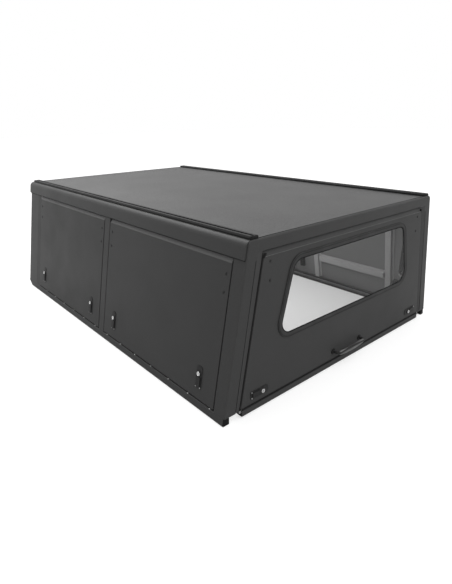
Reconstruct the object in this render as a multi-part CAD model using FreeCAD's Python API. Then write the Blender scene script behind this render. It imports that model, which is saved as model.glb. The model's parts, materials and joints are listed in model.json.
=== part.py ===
import FreeCAD, Part
import math
import os

os.makedirs("parts", exist_ok=True)

V = FreeCAD.Vector

# The canopy is drawn with x to the right, y forward from the rear face and z up from the floor.
# Sideways sizes of a leaning wall are t outward from the wall and w up along the wall.

# Main sizes, mm
BODY_LENGTH = 2254.0
HALF_BASE = 800.0
FOOT_Z = 36.0
LEAN_DEG = 10.92
LEAN = math.radians(LEAN_DEG)
ROOF_Z = 736.0
ROOF_CROWN = 1.5
ROOF_HALF = HALF_BASE - (ROOF_Z - FOOT_Z) * math.tan(LEAN)
WALL_TOP_W = (ROOF_Z - FOOT_Z) / math.cos(LEAN)
SILL_NOSE = 8.0
SILL_FRONT = BODY_LENGTH + SILL_NOSE

# Sheet metal
SHEET = 2.0
RAIL_WALL = 2.5
SILL_WALL = 3.0
BEND = 2.0
CLOSE_FIT = 0.3
MOVING_GAP = 5.0

# Side wall, with its openings as rear and front ends
BEAM_FACE = 73.0
BEAM_SEAM_W = WALL_TOP_W - BEAM_FACE
BEAM_PROUD = 8.0
BEAM_START_Y = 8.0
BEAM_END_Y = BODY_LENGTH
BEAM_BEND = 28.0
BEAM_DEPTH = 46.0
BEAM_FLANGE = 65.0
BEAM_INNER_X = ROOF_HALF - BEAM_FLANGE
ROOF_PANEL_INSET = 25.0
ROOF_PANEL_HALF = ROOF_HALF - ROOF_PANEL_INSET
ROOF_JOGGLE = 3.2
REAR_POST_WIDTH = 70.0
CENTRE_POST_WIDTH = 58.0
FRONT_POST_WIDTH = 194.0
CENTRE_POST_BACK = 82.0
CENTRE_POST_Y = BODY_LENGTH / 2 - CENTRE_POST_BACK
SIDE_OPENINGS = {
    "rear": (REAR_POST_WIDTH, CENTRE_POST_Y),
    "front": (CENTRE_POST_Y + CENTRE_POST_WIDTH, BODY_LENGTH - FRONT_POST_WIDTH),
}
DOOR_FOOT_W = 6.0
DOOR_DEPTH = 25.0
BEVEL_DROP = 27.0
BEVEL_W = BEAM_SEAM_W - BEVEL_DROP
BEVEL_IN = 11.0
DOOR_TOP_DROP = 2.0
BEVEL_TOP = BEAM_SEAM_W - DOOR_TOP_DROP
BEVEL_FOLD = 2.5

# Hook and bead hinge
BEAD_R = 4.0
BEAD_PLAY = 0.05
HOOK_R = 7.0
HOOK_LIP_DEG = 331.0
HOOK_END_DEG = 540.0
HOOK_DROP = 3.4
NECK = 2.2
HINGE_T = BEAM_PROUD - HOOK_R
HINGE_W = BEAM_SEAM_W + HOOK_DROP

# Posts
POST_TOP_DROP = 4.0
POST_TOP_W = BEAM_SEAM_W - POST_TOP_DROP
POST_CORNER = 3.0
JAMB_DEPTH = 36.0
JAMB_LIP = 18.0
REAR_FOLD_T = 53.0
REAR_GAP_T = 81.0
REAR_STRIP_SINK = 4.0
SIDE_STRIP = 48.0
SIDE_STRIP_SINK = 3.0

# Rear wall
HEADER_FACE = 50.0
HEADER_FOOT_Z = ROOF_Z - HEADER_FACE
HEADER_DEPTH = 42.0
HEADER_EDGE = 8.0
ROOF_SEAM_Y = 10.0
REAR_HINGE_Z = HEADER_FOOT_Z + HOOK_DROP
REAR_HINGE_T = -HOOK_R
REAR_BEVEL_DROP = 25.0
REAR_BEVEL_Z = HEADER_FOOT_Z - REAR_BEVEL_DROP
REAR_BEVEL_IN = 14.0
REAR_DOOR_TOP_Z = HEADER_FOOT_Z - DOOR_TOP_DROP
REAR_DOOR_FOOT_Z = 38.0

# Rear rail and handle
RAIL_Z = (6.0, 34.0)
RAIL_INSET = 3.0
RAIL_PROUD = 3.0
RAIL_EDGE = 2.0
HANDLE_HALF = 108.0
HANDLE_Z = 83.0
HANDLE_REACH = 32.0
HANDLE_R = 6.5
HANDLE_FOOT = 3.0

# Windows, as half width and height of the opening's upper and lower edges
WINDOW_TOP_INSET = 240.0
WINDOW_TOP_DROP = 109.0
WINDOW_FOOT_INSET = 283.0
WINDOW_FOOT_RISE = 251.0
WINDOW_TOP = (ROOF_HALF - WINDOW_TOP_INSET, ROOF_Z - WINDOW_TOP_DROP)
WINDOW_FOOT = (HALF_BASE - WINDOW_FOOT_INSET, FOOT_Z + WINDOW_FOOT_RISE)
WINDOW_R = 66.0
GLASS = 4.0
SEAL_WIDTH = 12.0
SEAL_LIP = 9.0
SEAL_PROUD = 5.0
SEAL_BACK = 6.0

# Hat stiffeners inside the doors
STIFF_WIDTH = 36.0
STIFF_HEIGHT = 18.0
STIFF_SPREAD = 0.84
SIDE_STIFF_INSET = 157.0
SIDE_STIFF_FRONT_INSET = 243.0
SIDE_BAR_W = 164.0
REAR_STIFF_INSET = 100.0
REAR_BAR_Z = 150.0

# Roof tracks
TRACK_INSET = 32.0
TRACK_X = ROOF_HALF - TRACK_INSET
TRACK_WIDTH = 42.0
TRACK_HEIGHT = 12.0
TRACK_REAR_INSET = 15.0
TRACK_FRONT_INSET = 26.0
TRACK_SPAN = (TRACK_REAR_INSET, BODY_LENGTH - TRACK_FRONT_INSET)
TRACK_SLOT = 11.0
TRACK_CAP = 10.0

# Roof bows
BOW_PITCH = 565.0
BOW_Y = (BODY_LENGTH / 2 - BOW_PITCH, BODY_LENGTH / 2, BODY_LENGTH / 2 + BOW_PITCH)
BOW_WIDTH = 44.0
BOW_DEPTH = 24.0

# Sills
SILL_WIDTH = 28.0
SILL_START_Y = 8.0
SILL_PLUG = 4.0
CLAMP_END_INSET = 260.0
CLAMP_HOLES_Y = (CLAMP_END_INSET, BODY_LENGTH / 2, BODY_LENGTH - CLAMP_END_INSET)
CLAMP_HOLE_R = 5.5
CLAMP_INSET = 10.0

# Gas struts, as seen along the hinge: t and w from the hinge
STRUT_INSET = 45.0
TUBE_R = 9.0
ROD_R = 4.0
ROD_PLAY = 0.05
STUD_R = 4.0
EYE_R = 8.0
EYE_WIDTH = 10.0
TUBE_WALL = 1.5
GLAND = 14.0
TUBE_START = 6.0
SIDE_STRUT_FOOT_W = 118.0
SIDE_STRUT = {"base": (-40.0, SIDE_STRUT_FOOT_W - HINGE_W), "stud": (-35.0, -105.0), "bare_rod": 120.0}
REAR_STRUT = {"base": (-40.0, -380.0), "stud": (-35.0, -95.0), "bare_rod": 100.0}
REAR_STRUT_INSET = 127.0
REAR_STRUT_X = ROOF_HALF - REAR_STRUT_INSET
BRACKET = 3.0
BRACKET_FOOT = 42.0
DOOR_TURN = 90.0

# Latches
LATCH_WIDTH = 36.0
LATCH_LENGTH = 100.0
LATCH_FOOT_R = 5.0
LATCH_HEAD_R = 14.0
LATCH_PLATE = 2.5
LATCH_PADDLE = 4.5
PADDLE_HALF = 13.0
PADDLE_FOOT = 8.0
LOCK_R = 8.0
LOCK_COLLAR = 12.0
LOCK_INSET = 34.0
LATCH_CASE = 20.0
CASE_INSET = 2.0
SIDE_LATCH_INSET = 107.0
SIDE_LATCH_W = 106.0
REAR_LATCH_INSET = 192.5
REAR_LATCH_X = HALF_BASE - REAR_LATCH_INSET
REAR_LATCH_Z = 82.0

# The written pieces have their origin in the middle of the whole length
Y_SHIFT = -(SILL_FRONT - HANDLE_REACH - HANDLE_R) / 2


# Small helpers for sections

def rounded_face(corners):
    """A flat face on XY from rows of x, y and corner radius."""
    edges = []
    first = None
    last = None
    for index, row in enumerate(corners):
        here = V(row[0], row[1], 0)
        before = V(*corners[index - 1][:2], 0)
        after = V(*corners[(index + 1) % len(corners)][:2], 0)
        start = here
        end = here
        if row[2]:
            back = (before - here).normalize()
            ahead = (after - here).normalize()
            half = back.getAngle(ahead) / 2
            start = here + back * (row[2] / math.tan(half))
            end = here + ahead * (row[2] / math.tan(half))
            centre = here + (back + ahead).normalize() * (row[2] / math.sin(half))
            middle = centre + (here - centre).normalize() * row[2]
        if last is not None and last.distanceToPoint(start) > 1e-6:
            edges.append(Part.makeLine(last, start))
        if row[2]:
            edges.append(Part.Arc(start, middle, end).toShape())
        if first is None:
            first = start
        last = end
    if last.distanceToPoint(first) > 1e-6:
        edges.append(Part.makeLine(last, first))
    return Part.Face(Part.Wire(edges))


def beside(path, gap):
    """The path's points moved to its left by gap."""
    moved = []
    for index, point in enumerate(path):
        sides = []
        for start, end in ((index - 1, index), (index, index + 1)):
            if start < 0 or end >= len(path):
                continue
            run = V(path[end][0] - path[start][0], path[end][1] - path[start][1], 0).normalize()
            sides.append(V(-run.y, run.x, 0))
        step = sides[0] * gap
        if len(sides) == 2:
            step = (sides[0] + sides[1]) * (gap / (1 + sides[0].dot(sides[1])))
        moved.append((point[0] + step.x, point[1] + step.y))
    return moved


def folded_face(path, wall):
    """Section of a sheet folded along rows of x, y and inner bend radius, wall to the left."""
    inner = beside(path, wall)
    near = []
    far = []
    for index, row in enumerate(path):
        near_r = 0
        far_r = 0
        if 0 < index < len(path) - 1 and row[2]:
            run = V(row[0] - path[index - 1][0], row[1] - path[index - 1][1], 0)
            turn = V(path[index + 1][0] - row[0], path[index + 1][1] - row[1], 0)
            left_turn = run.cross(turn).z > 0
            near_r = row[2] + (wall if left_turn else 0)
            far_r = row[2] + (0 if left_turn else wall)
        near.append((row[0], row[1], near_r))
        far.append((inner[index][0], inner[index][1], far_r))
    return rounded_face(near + far[::-1])


def upright(shape):
    """Turns a face on XY so that its y points up."""
    return shape.copy().rotate(V(0, 0, 0), V(1, 0, 0), 90)


def crosswise(shape):
    """Turns a face on XY so that its x points forward and its y points up."""
    return shape.copy().rotate(V(0, 0, 0), V(1, 1, 1), 120)


def along_y(face, start, end):
    """Extrudes an XY section forward from start to end."""
    body = upright(face).extrude(V(0, end - start, 0))
    body.translate(V(0, start, 0))
    return body


def along_x(face, start, end):
    """Extrudes a section of forward and up sizes to the right from start to end."""
    body = crosswise(face).extrude(V(end - start, 0, 0))
    body.translate(V(start, 0, 0))
    return body


def box(x_range, y_range, z_range):
    """A block between three pairs of limits."""
    size = [pair[1] - pair[0] for pair in (x_range, y_range, z_range)]
    return Part.makeBox(size[0], size[1], size[2], V(x_range[0], y_range[0], z_range[0]))


def rod_along(start, end, radius):
    """A round bar between two points."""
    return Part.makeCylinder(radius, (end - start).Length, start, end - start)


def wall_point(t, w):
    """Place of a point of the right wall's section, as x and z."""
    x = HALF_BASE + t * math.cos(LEAN) - w * math.sin(LEAN)
    z = FOOT_Z + t * math.sin(LEAN) + w * math.cos(LEAN)
    return (x, z)


def wall_x(t, z):
    """Place in x of a plane t outside the right wall, at height z."""
    return HALF_BASE + t / math.cos(LEAN) - (z - FOOT_Z) * math.tan(LEAN)


def lean(shape):
    """Takes a shape drawn upright against x = 0 to its place on the right wall."""
    leaned = shape.copy().rotate(V(0, 0, 0), V(0, 1, 0), -LEAN_DEG)
    leaned.translate(V(HALF_BASE, 0, FOOT_Z))
    return leaned


def mirrored(shape):
    """The same shape on the other side of the canopy."""
    return shape.mirror(V(0, 0, 0), V(1, 0, 0))


def pair(shape):
    """The shape and its mirror image, as one group of solids."""
    return Part.makeCompound(shape.Solids + mirrored(shape).Solids)


def roof_arc_z(x, drop):
    """Height of the crowned roof at x, drop below its top."""
    return ROOF_Z + ROOF_CROWN * (1 - (x / ROOF_PANEL_HALF) ** 2) - drop


def crown_face(half, top_drop, foot_drop):
    """A crowned band on XY between two depths below the roof's top."""
    rows = []
    for drop in (top_drop, foot_drop):
        ends = [V(x, roof_arc_z(x, drop), 0) for x in (-half, 0, half)]
        rows.append(ends)
    top = Part.Arc(*rows[0]).toShape()
    foot = Part.Arc(*rows[1]).toShape()
    right = Part.makeLine(rows[0][2], rows[1][2])
    left = Part.makeLine(rows[1][0], rows[0][0])
    return Part.Face(Part.Wire(Part.__sortEdges__([top, right, foot, left])))


def trapezoid(top, foot, grow, radius):
    """Corners of a trapezoid about x = 0 from (half width, z) rows, grown outward."""
    slope = (foot[0] - top[0]) / (top[1] - foot[1])
    side = grow * math.sqrt(1 + slope ** 2)
    high = (top[0] - slope * grow + side, top[1] + grow)
    low = (foot[0] + slope * grow + side, foot[1] - grow)
    return [(-low[0], low[1], radius), (low[0], low[1], radius),
            (high[0], high[1], radius), (-high[0], high[1], radius)]


def window_face(grow):
    """Outline of a window opening, grown outward."""
    return rounded_face(trapezoid(WINDOW_TOP, WINDOW_FOOT, grow, WINDOW_R + grow))


# Hinge profiles

def hook_face(t, w):
    """Hooked lip that holds a hinge bead, open downward."""
    first = math.radians(HOOK_LIP_DEG)
    last = math.radians(HOOK_END_DEG)
    middle = (first + last) / 2
    points = []
    for radius in (BEAD_R + BEAD_PLAY, HOOK_R):
        points.append([V(t + radius * math.cos(a), w + radius * math.sin(a), 0) for a in (first, middle, last)])
    bore = Part.Arc(*points[0]).toShape()
    back = Part.Arc(*points[1]).toShape()
    lip = Part.makeLine(points[0][0], points[1][0])
    end = Part.makeLine(points[0][2], points[1][2])
    return Part.Face(Part.Wire(Part.__sortEdges__([bore, back, lip, end])))


def bead_face(t, w, root_t, root_w):
    """Round bead of a door and the neck that joins it to the door's top edge."""
    bead = Part.Face(Part.Wire(Part.makeCircle(BEAD_R, V(t, w, 0))))
    run = V(root_t - t, root_w - w, 0).normalize()
    side = V(-run.y, run.x, 0) * (NECK / 2)
    start = V(t, w, 0)
    end = V(root_t, root_w, 0) + run * SHEET
    neck = Part.Face(Part.makePolygon([start + side, end + side, end - side, start - side, start + side]))
    return bead.fuse(neck).removeSplitter()


# Fixed frame of the canopy

def roof_beam():
    """Right upper rail: outer skin, roof flange with a step for the panel, inner web and hinge hook."""
    corner = wall_point(BEAM_PROUD, WALL_TOP_W - BEAM_PROUD * math.tan(LEAN))
    skin_foot = wall_point(BEAM_PROUD, HINGE_W)
    step_x = ROOF_PANEL_HALF + CLOSE_FIT
    skin_path = [
        (skin_foot[0], skin_foot[1], 0),
        (corner[0], corner[1], BEAM_BEND - RAIL_WALL),
        (step_x + ROOF_JOGGLE, ROOF_Z, 0),
        (step_x, ROOF_Z - ROOF_JOGGLE, 0),
        (BEAM_INNER_X, ROOF_Z - ROOF_JOGGLE, 0),
    ]
    skin = along_y(folded_face(skin_path, RAIL_WALL), BEAM_START_Y, BEAM_END_Y)
    web_w = HINGE_W + HOOK_R - RAIL_WALL
    web_start = wall_point(BEAM_PROUD - RAIL_WALL / 2, web_w)
    web_fold = wall_point(-BEAM_DEPTH, web_w)
    web_path = [
        (web_fold[0], ROOF_Z - ROOF_JOGGLE - RAIL_WALL, 0),
        (web_fold[0], web_fold[1], BEND),
        (web_start[0], web_start[1], 0),
    ]
    web = along_y(folded_face(web_path, RAIL_WALL), BEAM_START_Y, BEAM_END_Y)
    hook = Part.Face(hook_face(HINGE_T, HINGE_W).OuterWire)
    hook_run = lean(along_y(hook, BEAM_START_Y, BEAM_END_Y))
    cap_rows = [
        (skin_foot[0], skin_foot[1], 0),
        (corner[0], corner[1], BEAM_BEND),
        (web_fold[0], ROOF_Z, 0),
        (web_fold[0], web_fold[1], 0),
    ]
    cap = along_y(rounded_face(cap_rows), BEAM_END_Y - RAIL_WALL, BEAM_END_Y)
    cap = cap.cut(box((0, step_x), (0, BEAM_END_Y + 1), (ROOF_Z - ROOF_JOGGLE, ROOF_Z + 1)))
    beam = skin.fuse([web, hook_run, cap]).removeSplitter()
    header_ends = ((0, HEADER_DEPTH + CLOSE_FIT), (BODY_LENGTH - HEADER_DEPTH - CLOSE_FIT, BODY_LENGTH))
    rooms = [box((0, beam_web_x()), limits, (HEADER_FOOT_Z, ROOF_Z + 1)) for limits in header_ends]
    return beam.cut(rooms)


def beam_web_x():
    """Place in x of the inner face of the right roof beam."""
    return wall_point(-BEAM_DEPTH, HINGE_W + HOOK_R - RAIL_WALL)[0]


def rear_post():
    """Right rear corner post, folded from one sheet, with a jamb for each door."""
    jamb_y = SIDE_OPENINGS["rear"][0]
    path = [
        (-REAR_GAP_T - JAMB_LIP, JAMB_DEPTH, 0),
        (-REAR_GAP_T, JAMB_DEPTH, BEND),
        (-REAR_GAP_T, REAR_STRIP_SINK, BEND),
        (-REAR_FOLD_T, 0, BEND),
        (0, 0, POST_CORNER),
        (0, jamb_y, BEND),
        (-JAMB_DEPTH, jamb_y, BEND),
        (-JAMB_DEPTH, jamb_y + JAMB_LIP, 0),
    ]
    post = folded_face(path, SHEET).extrude(V(0, 0, WALL_TOP_W + FOOT_Z * 2))
    post.translate(V(0, 0, -FOOT_Z))
    above_beam_seam = box((-HALF_BASE, BEAM_PROUD), (BEAM_START_Y - CLOSE_FIT, BODY_LENGTH), (POST_TOP_W, ROOF_Z * 2))
    post = lean(post.cut(above_beam_seam))
    below_foot = box((0, BODY_LENGTH), (-BODY_LENGTH, BODY_LENGTH), (-BODY_LENGTH, FOOT_Z))
    roof_cut_z = ROOF_Z - BEAM_BEND
    above_roof = box((0, BODY_LENGTH), (-BODY_LENGTH, BODY_LENGTH), (roof_cut_z, BODY_LENGTH))
    post = post.cut([below_foot, above_roof])
    fold_x = wall_x(-REAR_FOLD_T, HEADER_FOOT_Z)
    header_room = box((0, fold_x), (-BODY_LENGTH, BODY_LENGTH), (HEADER_FOOT_Z, BODY_LENGTH))
    post = max(post.cut(header_room).Solids, key=lambda solid: solid.Volume)
    return post.fuse(corner_cap(fold_x, roof_cut_z)).removeSplitter()


def corner_cap(inner_x, foot_z):
    """Rounded top of the right rear corner, between the beam's end and the rear header."""
    rows = [(inner_x, foot_z, 0), (wall_x(0, foot_z), foot_z, 0), (ROOF_HALF, ROOF_Z, BEAM_BEND - BEAM_PROUD),
            (inner_x, ROOF_Z, 0)]
    cap = along_y(rounded_face(rows), 0, BEAM_START_Y - CLOSE_FIT)
    rear_edges = [e for e in cap.Edges if e.BoundBox.YMax < 0.01 and e.BoundBox.ZMax > foot_z + 1
                  and e.BoundBox.XMax > inner_x + 1]
    return cap.makeFillet(POST_CORNER + SHEET, rear_edges)


def centre_post():
    """Right centre post between the two side doors, with a jamb each way."""
    low = SIDE_OPENINGS["rear"][1]
    high = SIDE_OPENINGS["front"][0]
    path = [
        (-JAMB_DEPTH, low - JAMB_LIP, 0),
        (-JAMB_DEPTH, low, BEND),
        (0, low, BEND),
        (0, high, BEND),
        (-JAMB_DEPTH, high, BEND),
        (-JAMB_DEPTH, high + JAMB_LIP, 0),
    ]
    post = folded_face(path, SHEET).extrude(V(0, 0, POST_TOP_W + FOOT_Z))
    post.translate(V(0, 0, -FOOT_Z))
    below_foot = box((0, BODY_LENGTH), (0, BODY_LENGTH), (-BODY_LENGTH, FOOT_Z))
    return lean(post).cut(below_foot)


def front_post():
    """Right front corner post with the shallow strip beside the door."""
    jamb_y = SIDE_OPENINGS["front"][1]
    path = [
        (-JAMB_DEPTH, jamb_y - JAMB_LIP, 0),
        (-JAMB_DEPTH, jamb_y, BEND),
        (-SIDE_STRIP_SINK, jamb_y, BEND),
        (0, jamb_y + SIDE_STRIP, BEND),
        (0, BODY_LENGTH, POST_CORNER),
        (-REAR_GAP_T, BODY_LENGTH, BEND),
        (-REAR_GAP_T, BODY_LENGTH - JAMB_DEPTH, 0),
    ]
    post = folded_face(path, SHEET).extrude(V(0, 0, POST_TOP_W + FOOT_Z))
    post.translate(V(0, 0, -FOOT_Z))
    below_foot = box((0, BODY_LENGTH), (0, BODY_LENGTH + 1), (-BODY_LENGTH, FOOT_Z))
    return lean(post).cut(below_foot)


def header_shell(foot_z, half_foot, half_top):
    """Crowned cross rail, closed to the rear, with a step that takes the roof panel."""
    outline = rounded_face([
        (-half_foot, foot_z, 0), (half_foot, foot_z, 0),
        (half_top, ROOF_Z + ROOF_CROWN, 0), (-half_top, ROOF_Z + ROOF_CROWN, 0)])
    blank = upright(outline).extrude(V(0, HEADER_DEPTH, 0))
    band = along_y(crown_face(HALF_BASE, 0, ROOF_Z), 0, HEADER_DEPTH)
    blank = blank.common(band)
    rear_top = [edge for edge in blank.Edges if edge.BoundBox.YMax < 0.1 and edge.BoundBox.ZMin > ROOF_Z - HEADER_EDGE
                and edge.BoundBox.XLength > half_top]
    blank = blank.makeFillet(HEADER_EDGE, rear_top)
    inside = along_y(crown_face(HALF_BASE, ROOF_JOGGLE + RAIL_WALL, ROOF_Z), RAIL_WALL, HEADER_DEPTH + 1)
    blank = blank.cut(inside)
    step = along_y(crown_face(HALF_BASE, -1, ROOF_JOGGLE), ROOF_SEAM_Y, HEADER_DEPTH + 1)
    return blank.cut(step)


def rear_header():
    """Rear cross rail over the door, with the hinge hook along its lower edge."""
    fold_foot = wall_x(-REAR_FOLD_T, HEADER_FOOT_Z)
    shell = header_shell(HEADER_FOOT_Z + HOOK_DROP, fold_foot, fold_foot)
    flange = box((-fold_foot, fold_foot), (HOOK_R, HEADER_DEPTH),
                 (REAR_HINGE_Z + HOOK_R - RAIL_WALL, REAR_HINGE_Z + HOOK_R))
    hook = hook_face(-REAR_HINGE_T, 0)
    hook_rear = hook.mirror(V(-REAR_HINGE_T, 0, 0), V(1, 0, 0))
    hook_rear.translate(V(0, REAR_HINGE_Z, 0))
    hook_run = along_x(hook_rear, -fold_foot, fold_foot)
    return shell.fuse([flange, hook_run]).removeSplitter()


def front_header():
    """Front cross rail over the front panel."""
    half = beam_web_x() - CLOSE_FIT
    shell = header_shell(HEADER_FOOT_Z, half, half)
    turned = shell.mirror(V(0, 0, 0), V(0, 1, 0))
    turned.translate(V(0, BODY_LENGTH, 0))
    return turned


def roof_panel():
    """Crowned roof sheet between the rails and the cross rails."""
    return along_y(crown_face(ROOF_PANEL_HALF, 0, SHEET), ROOF_SEAM_Y + CLOSE_FIT,
                   BODY_LENGTH - ROOF_SEAM_Y - CLOSE_FIT)


def roof_bows():
    """Three crowned channels under the roof sheet, open upward."""
    half = beam_web_x() - CLOSE_FIT
    flange_foot = ROOF_Z - ROOF_JOGGLE - RAIL_WALL
    flange_rooms = [box(limits, (0, BODY_LENGTH), (flange_foot, ROOF_Z + ROOF_CROWN))
                    for limits in ((-BODY_LENGTH, CLOSE_FIT - BEAM_INNER_X), (BEAM_INNER_X - CLOSE_FIT, BODY_LENGTH))]
    bows = []
    for centre in BOW_Y:
        channel = along_y(crown_face(half, SHEET + CLOSE_FIT, BOW_DEPTH), centre - BOW_WIDTH / 2,
                          centre + BOW_WIDTH / 2).cut(flange_rooms)
        inside = along_y(crown_face(half, 0, BOW_DEPTH - SHEET), centre - BOW_WIDTH / 2 + SHEET,
                         centre + BOW_WIDTH / 2 - SHEET)
        bows.append(channel.cut(inside))
    return Part.makeCompound([solid for bow in bows for solid in bow.Solids])


def track_seat_z():
    """Height of the tracks' undersides, just over the crowned roof."""
    return roof_arc_z(TRACK_X - TRACK_WIDTH / 2, 0) + CLOSE_FIT


def roof_track():
    """Right roof track: a low extrusion with a slot along its top."""
    half = TRACK_WIDTH / 2
    slot = TRACK_SLOT / 2
    room = slot + SILL_WALL
    top = TRACK_HEIGHT
    rows = [
        (-half, 0, 0), (half, 0, 0), (half, top / 2, 1), (half - BEND * 2, top, 1), (slot, top, 0),
        (slot, top - BEND, 0), (room, top - BEND, 0), (room, BEND * 2, 0), (-room, BEND * 2, 0),
        (-room, top - BEND, 0), (-slot, top - BEND, 0), (-slot, top, 0), (-half + BEND * 2, top, 1),
        (-half, top / 2, 1),
    ]
    track = along_y(rounded_face(rows), TRACK_SPAN[0], TRACK_SPAN[1])
    track.translate(V(TRACK_X, 0, track_seat_z()))
    return track


def track_caps():
    """Moulded caps on both ends of the right roof track."""
    half = TRACK_WIDTH / 2
    rows = [(-half, 0, 0), (half, 0, 0), (half, TRACK_HEIGHT / 2, 1), (half - BEND * 2, TRACK_HEIGHT, 1),
            (-half + BEND * 2, TRACK_HEIGHT, 1), (-half, TRACK_HEIGHT / 2, 1)]
    caps = []
    for start, slope in ((TRACK_SPAN[0] - TRACK_CAP, -1), (TRACK_SPAN[1], 1)):
        cap = along_y(rounded_face(rows), start, start + TRACK_CAP)
        outer = start if slope < 0 else start + TRACK_CAP
        edges = [e for e in cap.Edges if abs(e.BoundBox.YMin - outer) < 0.01 and abs(e.BoundBox.YMax - outer) < 0.01
                 and e.BoundBox.ZMin > TRACK_HEIGHT - BEND]
        cap = cap.makeChamfer(TRACK_HEIGHT / 3, edges)
        cap.translate(V(TRACK_X, 0, track_seat_z()))
        caps.append(cap)
    return Part.makeCompound(caps)


def sill():
    """Right bottom rail: channel with its open side inward, clamp holes and a cut front corner."""
    foot_x = wall_point(0, -FOOT_Z / math.cos(LEAN))[0]
    path = [
        (HALF_BASE - SILL_WIDTH, FOOT_Z - SILL_WALL * 3, 0),
        (HALF_BASE - SILL_WIDTH, FOOT_Z, BEND),
        (HALF_BASE, FOOT_Z, BEND),
        (foot_x, 0, BEND),
        (foot_x - SILL_WIDTH, 0, 0),
    ]
    rail = along_y(folded_face(path[::-1], SILL_WALL), SILL_START_Y, SILL_FRONT)
    hole_x = HALF_BASE - CLAMP_INSET
    holes = [Part.makeCylinder(CLAMP_HOLE_R, SILL_WALL * 3, V(hole_x, y, -SILL_WALL)) for y in CLAMP_HOLES_Y]
    corner = Part.Face(Part.makePolygon([
        V(SILL_FRONT - 2 * FOOT_Z - BEND, -1, 0), V(SILL_FRONT + 1, FOOT_Z, 0), V(SILL_FRONT + 1, -1, 0),
        V(SILL_FRONT - 2 * FOOT_Z - BEND, -1, 0)]))
    return rail.cut(holes + [along_x(corner, 0, HALF_BASE + FOOT_Z)])


def sill_plug():
    """Moulded plug in the rear end of the right sill."""
    room = SILL_WALL + CLOSE_FIT
    inner_x = HALF_BASE - SILL_WIDTH + room
    rows = [
        (inner_x, room, 0), (wall_x(-room, room), room, BEND),
        (wall_x(-room, FOOT_Z - room), FOOT_Z - room, BEND), (inner_x, FOOT_Z - room, BEND)]
    body = along_y(rounded_face(rows), SILL_START_Y - SILL_PLUG / 2, SILL_START_Y + SILL_PLUG * 5)
    edge = SILL_WALL / 2
    face_rows = [
        (HALF_BASE - SILL_WIDTH, edge, BEND), (wall_x(-edge, edge), edge, BEND),
        (wall_x(-edge, FOOT_Z - edge), FOOT_Z - edge, BEND), (HALF_BASE - SILL_WIDTH, FOOT_Z - edge, BEND)]
    face = along_y(rounded_face(face_rows), SILL_START_Y - SILL_PLUG, SILL_START_Y - CLOSE_FIT)
    return body.fuse(face).removeSplitter()


def front_sill():
    """Front cross rail between the sills."""
    half = HALF_BASE - SILL_WIDTH - CLOSE_FIT
    path = [
        (BODY_LENGTH - SILL_WIDTH, 0, 0), (BODY_LENGTH - BEND, 0, BEND),
        (BODY_LENGTH - BEND, FOOT_Z, BEND), (BODY_LENGTH - SILL_WIDTH, FOOT_Z, 0)]
    return along_x(folded_face(path, SILL_WALL), -half, half)


def front_panel():
    """Front wall: folded pan with a window opening."""
    foot_half = wall_x(-REAR_GAP_T, FOOT_Z) - CLOSE_FIT
    top_half = wall_x(-REAR_GAP_T, HEADER_FOOT_Z) - CLOSE_FIT
    top = (top_half, HEADER_FOOT_Z)
    foot = (foot_half, FOOT_Z)
    outer = upright(rounded_face(trapezoid(top, foot, 0, 0))).extrude(V(0, DOOR_DEPTH, 0))
    inner = upright(rounded_face(trapezoid(top, foot, -SHEET, 0))).extrude(V(0, DOOR_DEPTH, 0))
    inner.translate(V(0, -SHEET, 0))
    pan = outer.cut(inner)
    opening = upright(window_face(0)).extrude(V(0, DOOR_DEPTH * 2, 0))
    pan = pan.cut(opening)
    pan.translate(V(0, BODY_LENGTH - DOOR_DEPTH, 0))
    return pan


def window_ring(outer_grow, inner_grow, start, end):
    """A flat ring around the window opening, between two depths."""
    ring = window_face(outer_grow).cut(window_face(inner_grow))
    return along_y(ring, start, end)


def window_seal():
    """Rubber window seal with a groove for the wall outside and one for the glass inside."""
    lip = window_ring(SEAL_LIP, -SEAL_WIDTH, -SEAL_PROUD, -CLOSE_FIT)
    core = window_ring(-CLOSE_FIT, -SEAL_WIDTH, -SEAL_PROUD, SEAL_BACK)
    back = window_ring(SEAL_LIP - BEND, -SEAL_WIDTH, SHEET + CLOSE_FIT, SEAL_BACK)
    slot = window_ring(-SEAL_WIDTH / 2 + CLOSE_FIT, -SEAL_WIDTH - 1, -GLASS / 2 - CLOSE_FIT / 2,
                       GLASS / 2 + CLOSE_FIT / 2)
    seal = lip.fuse([core, back]).removeSplitter()
    rear_edges = [e for e in seal.Edges if abs(e.BoundBox.YMax + SEAL_PROUD) < 0.01]
    seal = seal.makeFillet(BEND, rear_edges)
    return seal.cut(slot)


def window_glass():
    """Tinted pane held in the seal's inner groove."""
    return along_y(window_face(-SEAL_WIDTH / 2), -GLASS / 2, GLASS / 2)


def to_front(shape):
    """Turns a rear wall shape round to the front wall."""
    turned = shape.mirror(V(0, 0, 0), V(0, 1, 0))
    turned.translate(V(0, BODY_LENGTH, 0))
    return turned


# Side doors, drawn upright against x = 0 with the outside at x = 0

def side_door_span(place):
    """Rear and front ends of a side door."""
    low, high = SIDE_OPENINGS[place]
    return (low + MOVING_GAP, high - MOVING_GAP)


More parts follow.
